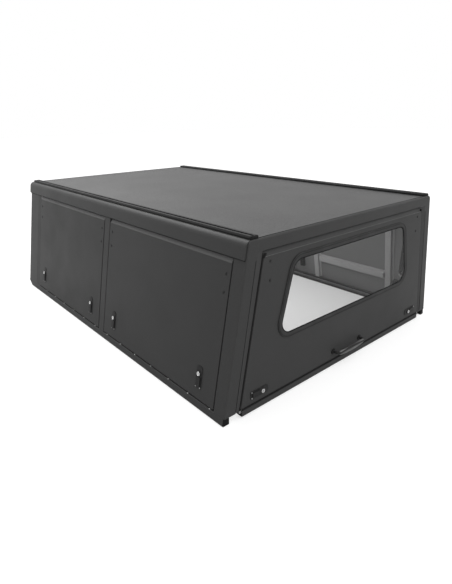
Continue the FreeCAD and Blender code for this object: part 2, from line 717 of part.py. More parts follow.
def side_door_panel(place):
    """Folded door pan with a bevelled top edge and the hinge bead."""
    start, end = side_door_span(place)
    inner = BEVEL_IN + SHEET
    flange_w = DOOR_FOOT_W + DOOR_DEPTH * math.tan(LEAN)
    outer_rows = [
        (0, DOOR_FOOT_W, SHEET + 1), (0, BEVEL_W, BEVEL_FOLD), (-BEVEL_IN, BEVEL_TOP, 0),
        (-DOOR_DEPTH, BEVEL_TOP, 0), (-DOOR_DEPTH, flange_w, 0)]
    inner_rows = [
        (-SHEET, DOOR_FOOT_W + SHEET, 1), (-SHEET, BEVEL_W - SHEET / 4, BEVEL_FOLD - SHEET),
        (-inner + SHEET / 4, BEVEL_TOP - SHEET, 0), (-DOOR_DEPTH - 1, BEVEL_TOP - SHEET, 0),
        (-DOOR_DEPTH, flange_w + SHEET, 0), (-DOOR_DEPTH - 1, flange_w + SHEET, 0)]
    blank = along_y(rounded_face(outer_rows), start, end)
    corners = [e for e in blank.Edges if e.BoundBox.YLength < 0.01 and e.BoundBox.XMin > -0.01
               and e.BoundBox.ZLength > DOOR_DEPTH]
    blank = blank.makeFillet(SHEET, corners)
    pan = blank.cut(along_y(rounded_face(inner_rows), start + SHEET, end - SHEET))
    bead = along_y(bead_face(HINGE_T, HINGE_W, -BEVEL_IN, BEVEL_TOP), start, end)
    return lean(pan.fuse(bead).removeSplitter())


def hat_section(width, height):
    """Section of a stiffener: a hat with two flanges, its open side on the door skin."""
    half = width / 2
    flange = width * STIFF_SPREAD - half
    path = [
        (-half - flange, 0, 0), (-half, 0, BEND / 2), (-half + BEND, height - SHEET, BEND / 2),
        (half - BEND, height - SHEET, BEND / 2), (half, 0, BEND / 2), (half + flange, 0, 0)]
    return folded_face(path, SHEET)


def side_door_inner(place):
    """Inner side of a door: two upright hats, a cross hat and the two strut brackets."""
    start, end = side_door_span(place)
    hat = hat_section(STIFF_WIDTH, STIFF_HEIGHT)
    stand = hat.copy().rotate(V(0, 0, 0), V(0, 0, 1), 90)
    low = DOOR_FOOT_W + DOOR_DEPTH * math.tan(LEAN) + SHEET + CLOSE_FIT
    height = BEVEL_W - low - DOOR_DEPTH
    hat_places = (start + SIDE_STIFF_INSET, end - SIDE_STIFF_FRONT_INSET)
    solids = []
    for hat_y in hat_places:
        upright_hat = stand.extrude(V(0, 0, height))
        upright_hat.translate(V(-SHEET, hat_y, low))
        solids.append(upright_hat)
    clear = STIFF_WIDTH * STIFF_SPREAD + CLOSE_FIT
    bar = along_y(stand, hat_places[0] + clear, hat_places[1] - clear)
    bar.translate(V(-SHEET, 0, SIDE_BAR_W))
    solids.append(bar)
    stud_t = HINGE_T + SIDE_STRUT["stud"][0]
    stud_w = HINGE_W + SIDE_STRUT["stud"][1]
    for eye_y, outward in side_strut_places(place):
        solids.append(door_bracket(eye_y, outward, stud_t, stud_w))
    return Part.makeCompound([lean(solid) for solid in solids])


# Gas struts and their brackets

def side_strut_places(place):
    """Place along y of each strut of a side door and the way to the nearer door end."""
    start, end = side_door_span(place)
    return ((start + STRUT_INSET, -1), (end - STRUT_INSET, 1))


def stud_run(eye, outward):
    """Limits along the hinge of the bracket tab, seen from a strut eye."""
    gap = EYE_WIDTH / 2 + CLOSE_FIT
    reach = gap + EYE_WIDTH
    near = eye + outward * gap
    far = eye + outward * reach
    return (near, far)


def door_bracket(eye_y, outward, stud_t, stud_w):
    """Bracket of a strut on a door: foot on the skin, tab and stud, x outward and z up the wall."""
    near, far = stud_run(eye_y, outward)
    tab_y = sorted((far, far + outward * BRACKET))
    foot_y = sorted((far - outward * BRACKET * 2, far + outward * BRACKET * 5))
    foot = box((-SHEET - BRACKET, -SHEET), foot_y, (stud_w - BRACKET_FOOT, stud_w + BRACKET_FOOT))
    tab = box((stud_t - EYE_R, -SHEET), tab_y, (stud_w - EYE_R, stud_w + EYE_R * 2))
    stud = rod_along(V(stud_t, near, stud_w), V(stud_t, far + outward * BRACKET / 2, stud_w), STUD_R)
    return foot.fuse([tab, stud]).removeSplitter()


def frame_bracket(eye_y, outward, base_t, base_w, wall_y):
    """Bracket of a strut on the frame: plate on the jamb lip, tab and stud through the strut's eye."""
    far = eye_y + outward * (EYE_WIDTH / 2 + EYE_WIDTH / 2)
    tip = eye_y - outward * (EYE_WIDTH / 2 + 1)
    tab_y = sorted((far, far + outward * BRACKET))
    foot_y = sorted((far, wall_y))
    lip_t = -JAMB_DEPTH - SHEET
    foot = box((lip_t - BRACKET, lip_t), foot_y, (base_w - EYE_R * 2, base_w + EYE_R * 2))
    tab = box((base_t - EYE_R, lip_t), tab_y, (base_w - EYE_R * 2, base_w + EYE_R * 2))
    stud = rod_along(V(base_t, tip, base_w), V(base_t, far + outward * BRACKET / 2, base_w), STUD_R)
    return foot.fuse([tab, stud]).removeSplitter()


def strut_ends(strut):
    """Unit direction and closed length of a strut from its table row."""
    base = V(strut["base"][0], 0, strut["base"][1])
    stud = V(strut["stud"][0], 0, strut["stud"][1])
    run = stud - base
    return run.normalize(), (stud - base).Length


def strut_tube(strut):
    """Tube of a strut, from the eye on the frame stud to the gland, base point at the origin."""
    run, length = strut_ends(strut)
    tube_end = length - strut["bare_rod"]
    start = V(0, 0, 0)
    eye = rod_along(V(0, -EYE_WIDTH / 2, 0), V(0, EYE_WIDTH / 2, 0), EYE_R)
    neck = rod_along(start, start + run * (EYE_R + TUBE_START * 2), STUD_R)
    tube = rod_along(start + run * (EYE_R + TUBE_START), start + run * tube_end, TUBE_R)
    room_start = start + run * (EYE_R + TUBE_START * 2)
    room = rod_along(room_start, start + run * (tube_end - GLAND), TUBE_R - TUBE_WALL)
    bore = rod_along(room_start, start + run * (tube_end + 1), ROD_R + ROD_PLAY)
    pin_hole = rod_along(V(0, -EYE_WIDTH, 0), V(0, EYE_WIDTH, 0), STUD_R + ROD_PLAY)
    gland_edges = [e for e in tube.Edges if e.CenterOfMass.sub(start + run * tube_end).Length < 0.1]
    tube = tube.makeChamfer(BEND, gland_edges)
    return tube.fuse([eye, neck]).cut([room, bore, pin_hole]).removeSplitter()


def strut_rod(strut, stroke):
    """Rod of a strut with its socket end, base point at the origin."""
    run, length = strut_ends(strut)
    tip = run * length
    inner_end = run * (length - strut["bare_rod"] - stroke - GLAND * 3)
    rod = rod_along(inner_end, tip, ROD_R)
    eye = rod_along(tip + V(0, -EYE_WIDTH / 2, 0), tip + V(0, EYE_WIDTH / 2, 0), EYE_R)
    collar = rod_along(tip - run * (EYE_R + EYE_WIDTH), tip, EYE_WIDTH / 2 - CLOSE_FIT)
    return rod.fuse([eye, collar]).removeSplitter()


def strut_stroke(strut, turn_deg):
    """Change of a strut's length when its door has turned by turn_deg."""
    turn = math.radians(turn_deg)
    t, w = strut["stud"]
    open_t = t * math.cos(turn) - w * math.sin(turn)
    open_w = t * math.sin(turn) + w * math.cos(turn)
    opened = math.hypot(open_t - strut["base"][0], open_w - strut["base"][1])
    return opened - strut_ends(strut)[1]


def side_strut_set(place, make):
    """Both struts of a side door, each made by make, on the right wall."""
    solids = []
    for eye_y, outward in side_strut_places(place):
        piece = make.copy()
        piece.translate(V(HINGE_T + SIDE_STRUT["base"][0], eye_y, HINGE_W + SIDE_STRUT["base"][1]))
        solids.append(lean(piece))
    return Part.makeCompound(solids)


def frame_brackets():
    """All strut brackets of the fixed frame."""
    base_t = HINGE_T + SIDE_STRUT["base"][0]
    base_w = HINGE_W + SIDE_STRUT["base"][1]
    solids = []
    for place in SIDE_OPENINGS:
        for (eye_y, outward), wall_y in zip(side_strut_places(place), SIDE_OPENINGS[place]):
            bracket = lean(frame_bracket(eye_y, outward, base_t, base_w, wall_y))
            solids += [bracket, mirrored(bracket)]
    return Part.makeCompound(solids)


def rear_strut_set(make):
    """Both struts of the rear door, drawn with t toward the rear."""
    solids = []
    for x in (-REAR_STRUT_X, REAR_STRUT_X):
        piece = make.copy()
        piece.rotate(V(0, 0, 0), V(0, 0, 1), -90)
        piece.translate(V(x, -(REAR_HINGE_T + REAR_STRUT["base"][0]), REAR_HINGE_Z + REAR_STRUT["base"][1]))
        solids.append(piece)
    return Part.makeCompound(solids)


def rear_frame_brackets():
    """Right rear strut bracket: a long plate on the rear jamb with the strut's stud."""
    base_y = -(REAR_HINGE_T + REAR_STRUT["base"][0])
    base_z = REAR_HINGE_Z + REAR_STRUT["base"][1]
    tab_x = REAR_STRUT_X + EYE_WIDTH
    high = base_z + EYE_R * 2
    low = base_z - EYE_R * 2
    lip_x = [wall_x(-REAR_GAP_T - JAMB_LIP / 2, z) for z in (low, high)]
    outline = Part.Face(Part.makePolygon([
        V(tab_x, low, 0), V(lip_x[0], low, 0), V(lip_x[1], high, 0), V(tab_x, high, 0), V(tab_x, low, 0)]))
    seat_y = JAMB_DEPTH + SHEET
    plate = along_y(outline, seat_y, seat_y + BRACKET)
    tab = box((tab_x, tab_x + BRACKET), (seat_y, base_y + EYE_R), (low, high))
    stud = rod_along(V(REAR_STRUT_X - EYE_WIDTH / 2 - 1, base_y, base_z), V(tab_x + BRACKET / 2, base_y, base_z), STUD_R)
    return plate.fuse([tab, stud]).removeSplitter()


# Rear door

def rear_door_half(z):
    """Half width of the rear door at height z."""
    return wall_x(-REAR_GAP_T - MOVING_GAP, z) - CLOSE_FIT


def rear_outline(grow):
    """Outline of the rear door on XY, grown outward."""
    top_z = REAR_HINGE_Z + BEAD_R
    top = (rear_door_half(top_z), top_z)
    foot = (rear_door_half(REAR_DOOR_FOOT_Z), REAR_DOOR_FOOT_Z)
    return rounded_face(trapezoid(top, foot, grow, 0))


def rear_door_panel():
    """Rear door pan with its window opening, bevelled top edge and hinge bead."""
    top_z = REAR_DOOR_TOP_Z
    outer_rows = [
        (0, REAR_DOOR_FOOT_Z, SHEET + 1), (0, REAR_BEVEL_Z, BEVEL_FOLD), (REAR_BEVEL_IN, top_z, 0),
        (DOOR_DEPTH, top_z, 0), (DOOR_DEPTH, REAR_DOOR_FOOT_Z, 0)]
    inner_rows = [
        (SHEET, REAR_DOOR_FOOT_Z + SHEET, 1), (SHEET, REAR_BEVEL_Z - SHEET / 4, BEVEL_FOLD - SHEET),
        (REAR_BEVEL_IN + SHEET - BEVEL_FOLD / 5, top_z - SHEET, 0), (DOOR_DEPTH + 1, top_z - SHEET, 0),
        (DOOR_DEPTH + 1, REAR_DOOR_FOOT_Z + SHEET, 0)]
    outline = upright(rear_outline(0)).extrude(V(0, DOOR_DEPTH * 2, 0))
    room = upright(rear_outline(-SHEET)).extrude(V(0, DOOR_DEPTH * 2, 0))
    blank = along_x(rounded_face(outer_rows), -HALF_BASE, HALF_BASE).common(outline)
    sides = [e for e in blank.Edges if e.BoundBox.YMax < 0.01 and e.BoundBox.ZLength > DOOR_DEPTH]
    blank = blank.makeFillet(SHEET, sides)
    inside = along_x(rounded_face(inner_rows), -HALF_BASE, HALF_BASE).common(room)
    opening = upright(window_face(0)).extrude(V(0, DOOR_DEPTH * 4, 0))
    opening.translate(V(0, -DOOR_DEPTH, 0))
    pan = blank.cut([inside, opening])
    profile = bead_face(REAR_HINGE_T, REAR_HINGE_Z, -REAR_BEVEL_IN, top_z).mirror(V(0, 0, 0), V(1, 0, 0))
    half = rear_door_half(REAR_HINGE_Z) - SHEET
    return pan.fuse(along_x(profile, -half, half)).removeSplitter()


def rear_door_inner():
    """Inner side of the rear door: two leaning hats, a cross hat and the strut brackets."""
    hat = hat_section(STIFF_WIDTH, STIFF_HEIGHT)
    low = REAR_LATCH_Z + LATCH_WIDTH
    high = REAR_BEVEL_Z - DOOR_DEPTH
    length = (high - low) / math.cos(LEAN) + STIFF_WIDTH
    side_hat = hat.extrude(V(0, 0, length))
    side_hat.rotate(V(0, 0, 0), V(0, 1, 0), -LEAN_DEG)
    side_hat.translate(V(rear_door_half(low) - REAR_STIFF_INSET, SHEET, low - STIFF_WIDTH / 3))
    keep = box((0, HALF_BASE), (0, DOOR_DEPTH), (low, high))
    side_hat = side_hat.common(keep)
    bar = along_x(hat.copy().rotate(V(0, 0, 0), V(0, 0, 1), -90), -HALF_BASE, HALF_BASE)
    bar.translate(V(0, SHEET, REAR_BAR_Z))
    clear = STIFF_WIDTH * STIFF_SPREAD / math.cos(LEAN) + BEND
    bar_half = rear_door_half(REAR_BAR_Z + STIFF_WIDTH) - REAR_STIFF_INSET - clear
    bar = bar.common(box((-bar_half, bar_half), (0, DOOR_DEPTH), (0, HALF_BASE)))
    stud_w = REAR_HINGE_Z + REAR_STRUT["stud"][1]
    bracket = door_bracket(REAR_STRUT_X, 1, REAR_HINGE_T + REAR_STRUT["stud"][0], stud_w)
    bracket = bracket.mirror(V(0, 0, 0), V(1, -1, 0)).mirror(V(0, 0, 0), V(0, 1, 0))
    bracket = bracket.cut(side_hat)
    bracket = max(bracket.Solids, key=lambda solid: solid.Volume)
    return Part.makeCompound([bar, side_hat, mirrored(side_hat), bracket, mirrored(bracket)])


def rear_rail():
    """Hollow rail under the rear door with the web that carries it."""
    low, high = RAIL_Z
    web_y = DOOR_DEPTH + CLOSE_FIT
    depth = web_y + RAIL_WALL
    rows = [(-RAIL_PROUD, low, RAIL_EDGE), (depth, low, RAIL_EDGE), (depth, high, 0), (-RAIL_PROUD, high, RAIL_EDGE)]
    room = [(-RAIL_PROUD + RAIL_WALL, low + RAIL_WALL, 0), (web_y, low + RAIL_WALL, 0),
            (web_y, high - RAIL_WALL, 0), (-RAIL_PROUD + RAIL_WALL, high - RAIL_WALL, 0)]
    section = rounded_face(rows).cut(rounded_face(room))
    half = rear_door_half(REAR_DOOR_FOOT_Z) - RAIL_INSET
    tube = along_x(section, -half, half)
    web_half = half - DOOR_DEPTH
    web = box((-web_half, web_half), (web_y, depth), (low + BEND * 2, REAR_DOOR_FOOT_Z + STIFF_WIDTH / 2))
    return tube.fuse(web).removeSplitter()


def door_handle():
    """Bow handle on the rear door: bent round bar on two feet."""
    bend = HANDLE_R * 2.5
    out = -HANDLE_REACH
    points = [V(-HANDLE_HALF, -CLOSE_FIT, 0), V(-HANDLE_HALF, out + bend, 0), V(-HANDLE_HALF + bend, out, 0),
              V(HANDLE_HALF - bend, out, 0), V(HANDLE_HALF, out + bend, 0), V(HANDLE_HALF, -CLOSE_FIT, 0)]
    swing = bend * (1 - math.sqrt(0.5))
    left_mid = V(-HANDLE_HALF + swing, out + swing, 0)
    right_mid = V(HANDLE_HALF - swing, out + swing, 0)
    spine = Part.Wire([
        Part.makeLine(points[0], points[1]), Part.Arc(points[1], left_mid, points[2]).toShape(),
        Part.makeLine(points[2], points[3]), Part.Arc(points[3], right_mid, points[4]).toShape(),
        Part.makeLine(points[4], points[5])])
    ring = Part.Wire(Part.makeCircle(HANDLE_R, points[0], V(0, 1, 0)))
    bar = spine.makePipeShell([ring], True, False)
    feet = [rod_along(V(x, -CLOSE_FIT - HANDLE_FOOT, 0), V(x, -CLOSE_FIT, 0), HANDLE_R * 1.6)
            for x in (-HANDLE_HALF, HANDLE_HALF)]
    handle = bar.fuse(feet).removeSplitter()
    handle.translate(V(0, 0, HANDLE_Z))
    return handle


# Latches, drawn on XZ with the outside toward -y and the lock at the upper end

def latch():
    """Door latch about its centre: rounded plate, lifting paddle, lock barrel and the case behind."""
    half = LATCH_WIDTH / 2
    tall = LATCH_LENGTH / 2
    lock_z = tall - LOCK_INSET
    plate_rows = [(-half, -tall, LATCH_FOOT_R), (half, -tall, LATCH_FOOT_R), (half, tall, LATCH_HEAD_R),
                  (-half, tall, LATCH_HEAD_R)]
    plate = along_y(rounded_face(plate_rows), -LATCH_PLATE - CLOSE_FIT, -CLOSE_FIT)
    front = -CLOSE_FIT - LATCH_PLATE - LATCH_PADDLE
    paddle_foot = -tall + PADDLE_FOOT
    paddle_top = lock_z - LOCK_COLLAR - BEND
    paddle_rows = [(-PADDLE_HALF, paddle_foot, LATCH_FOOT_R), (PADDLE_HALF, paddle_foot, LATCH_FOOT_R),
                   (PADDLE_HALF, paddle_top, BEND), (-PADDLE_HALF, paddle_top, BEND)]
    paddle = along_y(rounded_face(paddle_rows), front, -LATCH_PLATE)
    rim = [edge for edge in paddle.Edges if edge.BoundBox.YMax < front + 0.01]
    paddle = paddle.makeFillet(BEND / 2, rim)
    collar = rod_along(V(0, front + BEND, lock_z), V(0, -LATCH_PLATE, lock_z), LOCK_COLLAR)
    barrel = rod_along(V(0, front, lock_z), V(0, -LATCH_PLATE, lock_z), LOCK_R)
    shell = plate.fuse([paddle, collar, barrel]).removeSplitter()
    case_half = half - CASE_INSET
    case_rows = [(-case_half, LATCH_FOOT_R * 2 - tall, BEND), (case_half, LATCH_FOOT_R * 2 - tall, BEND),
                 (case_half, tall - LATCH_FOOT_R, BEND), (-case_half, tall - LATCH_FOOT_R, BEND)]
    case = along_y(rounded_face(case_rows), SHEET + CLOSE_FIT, SHEET + LATCH_CASE)
    return [shell, case]


def side_latches(place):
    """Both latches of a side door on the right wall."""
    start, end = side_door_span(place)
    solids = []
    for y in (start + SIDE_LATCH_INSET, end - SIDE_LATCH_INSET):
        for piece in latch():
            turned = piece.copy().rotate(V(0, 0, 0), V(0, 0, 1), 90)
            turned.translate(V(0, y, SIDE_LATCH_W))
            solids.append(lean(turned))
    return Part.makeCompound(solids)


def rear_latches():
    """Both latches of the rear door, lying with the lock toward the middle."""
    solids = []
    for piece in latch():
        turned = piece.copy().rotate(V(0, 0, 0), V(0, 1, 0), -90)
        turned.translate(V(REAR_LATCH_X, 0, REAR_LATCH_Z))
        solids += [turned, mirrored(turned)]
    return Part.makeCompound(solids)


# Writing the pieces

def save(name, shape):
    """Puts a piece in the canopy's own frame and writes it."""
    placed = shape.copy()
    placed.translate(V(0, Y_SHIFT, 0))
    solids = placed.Solids
    if len(solids) == 1:
        placed = solids[0]
    placed.exportStep("parts/" + name + ".step")


def write_frame():
    """Pieces that are fixed to each other."""
    save("roof_panel", roof_panel())
    save("roof_beams", pair(roof_beam()))
    save("roof_bows", roof_bows())
    save("roof_tracks", pair(roof_track()))
    save("roof_track_caps", pair(track_caps()))
    save("rear_header", rear_header())
    save("front_header", front_header())
    save("rear_posts", pair(rear_post()))
    save("centre_posts", pair(centre_post()))
    save("front_posts", pair(front_post()))
    save("sills", pair(sill()))
    save("sill_plugs", pair(sill_plug()))
    save("front_sill", front_sill())
    save("front_panel", front_panel())
    save("front_window_seal", to_front(window_seal()))
    save("front_window_glass", to_front(window_glass()))
    save("side_strut_brackets", frame_brackets())
    save("rear_strut_brackets", pair(rear_frame_brackets()))


def write_rear_door():
    """Pieces of the rear door and its struts."""
    stroke = strut_stroke(REAR_STRUT, DOOR_TURN)
    save("rear_door_panel", rear_door_panel())
    save("rear_door_inner", rear_door_inner())
    save("rear_door_rail", rear_rail())
    save("rear_door_handle", door_handle())
    save("rear_door_latches", rear_latches())
    save("rear_window_seal", window_seal())
    save("rear_window_glass", window_glass())
    save("rear_strut_tubes", rear_strut_set(strut_tube(REAR_STRUT)))
    save("rear_strut_rods", rear_strut_set(strut_rod(REAR_STRUT, stroke)))


def write_side_doors():
    """Pieces of the four side doors and their struts."""
    stroke = strut_stroke(SIDE_STRUT, DOOR_TURN)
    for place in SIDE_OPENINGS:
        pieces = {
            "door_panel": side_door_panel(place),
            "door_inner": side_door_inner(place),
            "door_latches": side_latches(place),
            "strut_tubes": side_strut_set(place, strut_tube(SIDE_STRUT)),
            "strut_rods": side_strut_set(place, strut_rod(SIDE_STRUT, stroke)),
        }
        for name, shape in pieces.items():
            save("right_" + place + "_" + name, shape)
            save("left_" + place + "_" + name, mirrored(shape))


write_frame()
write_rear_door()
write_side_doors()
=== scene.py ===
import json
import math

import bpy
from mathutils import Matrix, Vector


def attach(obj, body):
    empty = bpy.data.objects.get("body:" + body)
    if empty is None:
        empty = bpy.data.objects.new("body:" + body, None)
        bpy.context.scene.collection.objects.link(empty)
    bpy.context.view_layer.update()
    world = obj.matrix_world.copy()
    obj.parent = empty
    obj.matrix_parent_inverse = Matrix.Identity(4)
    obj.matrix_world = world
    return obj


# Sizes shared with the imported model, in metres. y is forward from the middle of the canopy.
REAR_Y = -1.11175
FOOT_Z = 0.036
HALF_BASE = 0.8
LEAN = math.radians(10.92)
SIDE_OPENINGS = {"rear": (0.070, 1.045), "front": (1.103, 2.060)}
DOOR_GAP = 0.005
REAR_GAP_T = 0.081
REAR_FOOT_Z = 0.038
REAR_TOP_Z = 0.684
BODY_LENGTH = 2.254
ROOF_Z = 0.736
BEAM_SEAM_W = 0.6399
BEAM_PROUD = 0.008
BEAM_BEND = 0.028
BEVEL_W = BEAM_SEAM_W - 0.027
BEVEL_IN = 0.011
BEVEL_TOP_W = BEAM_SEAM_W - 0.002
REAR_BEVEL_Z = REAR_TOP_Z - 0.023
STRUT_INSET = 0.045
STRUT_FOOT_T = -0.039
STRUT_FOOT_W = 0.118
REAR_STRUT_X = 0.53795
REAR_STRUT_FOOT = (0.047, 0.3094)
STRUT_EYE = 0.010
BEAM_START_Y = 0.008
ROOF_PANEL_HALF = 0.640
WINDOW_TOP = (0.425, 0.627)
WINDOW_FOOT = (0.517, 0.287)
WINDOW_R = 0.066
SEAL_PROUD = 0.005
GLASS_FACE = 0.002
HANDLE_HALF = 0.108
HANDLE_Z = 0.083
HANDLE_REACH = 0.032
LATCH_FRONT = 0.0073
LATCH_HALF_LENGTH = 0.050
LATCH_HALF_WIDTH = 0.018
LOCK_UP = 0.016
SIDE_LATCH_INSET = 0.107
SIDE_LATCH_W = 0.106
REAR_LATCH_X = 0.6075
REAR_LATCH_Z = 0.082
SIDES = {"right": 1.0, "left": -1.0}
QUARTER = math.radians(90)
MIRROR = Matrix.Diagonal((-1, 1, 1, 1))
LOCK_FACE_OUT = LATCH_FRONT + 0.0008
RIVET_STEP = 0.0138
RIVET_OUT = 0.0028
RIVET_FROM_END = 0.0055
BOLT_INSET = 0.026
BOLT_W = (0.497, 0.570)
REAR_BOLT_X = 0.5555
REAR_BOLT_Z = (0.638, 0.561)
SCREW_FIRST = 0.097
SCREW_PITCH = 0.151
SCREW_END = 2.03
COVER_PLATE = 0.0012
SEAL_RADIUS = 0.0045
SEAL_DEPTH = 0.0315
POST_SHADE_LINE_Z = (0.046, 0.655)
PHOTO_HEIGHT = 584
LENS_PIXELS = 444.432
SENSOR_MM = 36

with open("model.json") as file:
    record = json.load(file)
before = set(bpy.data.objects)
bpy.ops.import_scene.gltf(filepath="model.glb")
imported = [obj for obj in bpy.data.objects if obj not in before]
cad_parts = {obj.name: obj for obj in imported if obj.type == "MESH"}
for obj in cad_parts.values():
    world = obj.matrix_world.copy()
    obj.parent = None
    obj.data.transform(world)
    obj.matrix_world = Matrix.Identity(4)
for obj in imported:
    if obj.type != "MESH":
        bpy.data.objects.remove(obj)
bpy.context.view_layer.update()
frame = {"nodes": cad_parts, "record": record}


# Node helpers for materials

def new_material(name):
    """A material with its node tree and its main shader."""
    material = bpy.data.materials.new(name)
    material.use_nodes = True
    tree = material.node_tree
    return material, tree, tree.nodes["Principled BSDF"]


def node(tree, kind, **values):
    """Adds a node; values are its settings or the values of its inputs."""
    made = tree.nodes.new(kind)
    for key, value in values.items():
        if hasattr(made, key):
            setattr(made, key, value)
        else:
            made.inputs[key.replace("_", " ")].default_value = value
    return made


def noise(tree, coords, scale, detail=2.0, rough=0.5):
    """Noise at a scale given in cells per metre."""
    made = node(tree, "ShaderNodeTexNoise")
    made.inputs["Scale"].default_value = scale
    made.inputs["Detail"].default_value = detail
    made.inputs["Roughness"].default_value = rough
    tree.links.new(coords, made.inputs["Vector"])
    return made.outputs["Fac"]


def ramp(tree, value, low, high, to_low, to_high):
    """Maps value from low..high to to_low..to_high."""
    made = node(tree, "ShaderNodeMapRange")
    for key, number in zip(("From Min", "From Max", "To Min", "To Max"), (low, high, to_low, to_high)):
        made.inputs[key].default_value = number
    tree.links.new(value, made.inputs["Value"])
    return made.outputs["Result"]


def blend_colours(tree, factor, first, second):
    """Mixes two colours by a factor; the first may also be a node's output."""
    made = node(tree, "ShaderNodeMix", data_type="RGBA")
    colours = [socket for socket in made.inputs if socket.type == "RGBA"]
    if isinstance(first, tuple):
        colours[0].default_value = (*first, 1)
    else:
        tree.links.new(first, colours[0])
    colours[1].default_value = (*second, 1)
    tree.links.new(factor, made.inputs["Factor"])
    return [socket for socket in made.outputs if socket.type == "RGBA"][0]


def bump(tree, height, distance, strength=1.0, under=None):
    """Turns a height into a bumped normal."""
    made = node(tree, "ShaderNodeBump")
    made.inputs["Distance"].default_value = distance
    made.inputs["Strength"].default_value = strength
    tree.links.new(height, made.inputs["Height"])
    if under is not None:
        tree.links.new(under, made.inputs["Normal"])
    return made.outputs["Normal"]


def object_coords(tree):
    """Coordinates of the object, in metres."""
    return node(tree, "ShaderNodeTexCoord").outputs["Object"]


def soft_edges(tree, radius):
    """A normal that rounds the sheet's sharp folds a little."""
    return node(tree, "ShaderNodeBevel", samples=6, Radius=radius).outputs["Normal"]


# Materials

def inward_share(tree):
    """One on the faces that look into the load space, zero on the outer ones; it masks the painted light on
    the inward faces.
    """
    coords = node(tree, "ShaderNodeTexCoord")
    facing = node(tree, "ShaderNodeVectorMath", operation="DOT_PRODUCT")
    tree.links.new(coords.outputs["Object"], facing.inputs[0])
    tree.links.new(coords.outputs["Normal"], facing.inputs[1])
    return ramp(tree, facing.outputs["Value"], -0.12, -0.08, 1.0, 0.0)


def powder_coat(name, dark, light, rough, grain=0.00012, edge=0.0012, inner=None, sheen=0.2):
    """Satin powder coat: fine orange-peel grain, faint dust and uneven sheen, with painted light as a lighter
    colour on inward faces.
    """
    material, tree, shader = new_material(name)
    coords = object_coords(tree)
    patches = noise(tree, coords, 5.0, 4.0)
    specks = noise(tree, coords, 1500.0, 2.0)
    peel = noise(tree, coords, 620.0, 3.0, 0.6)
    colour = blend_colours(tree, ramp(tree, specks, 0.42, 0.7, 0.0, 1.0), dark, light)
    # The inner colour on inward faces is painted light for the lit load space.
    if inner:
        colour = blend_colours(tree, inward_share(tree), colour, inner)
    tree.links.new(colour, shader.inputs["Base Color"])
    tree.links.new(ramp(tree, patches, 0.3, 0.7, rough - 0.04, rough + 0.05), shader.inputs["Roughness"])
    normal = bump(tree, peel, grain, 1.0, soft_edges(tree, edge))
    tree.links.new(normal, shader.inputs["Normal"])
    shader.inputs["Specular IOR Level"].default_value = sheen
    return material


def embossed_coat(name, dark, light, rough):
    """Roof sheet: powder coat over a fine embossed pattern, with painted light on the raised cells and
    painted shade in the hollows between them.
    """
    material, tree, shader = new_material(name)
    coords = object_coords(tree)
    cells = node(tree, "ShaderNodeTexVoronoi", feature="SMOOTH_F1", Scale=120.0, Randomness=0.4)
    tree.links.new(coords, cells.inputs["Vector"])
    patches = noise(tree, coords, 3.0, 3.0)
    grain = noise(tree, coords, 900.0, 2.0)
    height = ramp(tree, cells.outputs["Distance"], 0.0, 0.6, 1.0, 0.0)
    # Colour follows the emboss: lighter on the raised cells and darker in the hollows, as painted light and
    # shade.
    colour = blend_colours(tree, ramp(tree, cells.outputs["Distance"], 0.15, 0.5, 1.0, 0.0), dark, light)
    tree.links.new(colour, shader.inputs["Base Color"])
    tree.links.new(ramp(tree, patches, 0.3, 0.7, rough - 0.02, rough + 0.02), shader.inputs["Roughness"])
    fine = bump(tree, grain, 0.0001)
    tree.links.new(bump(tree, height, 0.0014, 1.0, fine), shader.inputs["Normal"])
    return material


def metal(name, base, rough, streak, grain=0.00004):
    """Bare or plated metal with fine drawn streaks along the given direction."""
    material, tree, shader = new_material(name)
    mapping = node(tree, "ShaderNodeMapping")
    mapping.inputs["Scale"].default_value = streak
    tree.links.new(object_coords(tree), mapping.inputs["Vector"])
    lines = noise(tree, mapping.outputs["Vector"], 60.0, 5.0, 0.6)
    stain = noise(tree, object_coords(tree), 9.0, 3.0)
    darker = tuple(c * 0.82 for c in base)
    tree.links.new(blend_colours(tree, ramp(tree, stain, 0.35, 0.65, 0.0, 1.0), darker, base),
                   shader.inputs["Base Color"])
    tree.links.new(ramp(tree, lines, 0.3, 0.7, rough - 0.07, rough + 0.09), shader.inputs["Roughness"])
    tree.links.new(bump(tree, lines, grain), shader.inputs["Normal"])
    shader.inputs["Metallic"].default_value = 1.0
    return material


def moulded(name, dark, light, rough, scale, depth):
    """Moulded plastic or rubber with a fine skin texture."""
    material, tree, shader = new_material(name)
    coords = object_coords(tree)
    skin = noise(tree, coords, scale, 3.0, 0.65)
    wipe = noise(tree, coords, 14.0, 3.0)
    tree.links.new(blend_colours(tree, ramp(tree, wipe, 0.35, 0.7, 0.0, 1.0), dark, light),
                   shader.inputs["Base Color"])
    tree.links.new(ramp(tree, skin, 0.3, 0.7, rough - 0.06, rough + 0.06), shader.inputs["Roughness"])
    tree.links.new(bump(tree, skin, depth), shader.inputs["Normal"])
    shader.inputs["Specular IOR Level"].default_value = 0.2
    return material


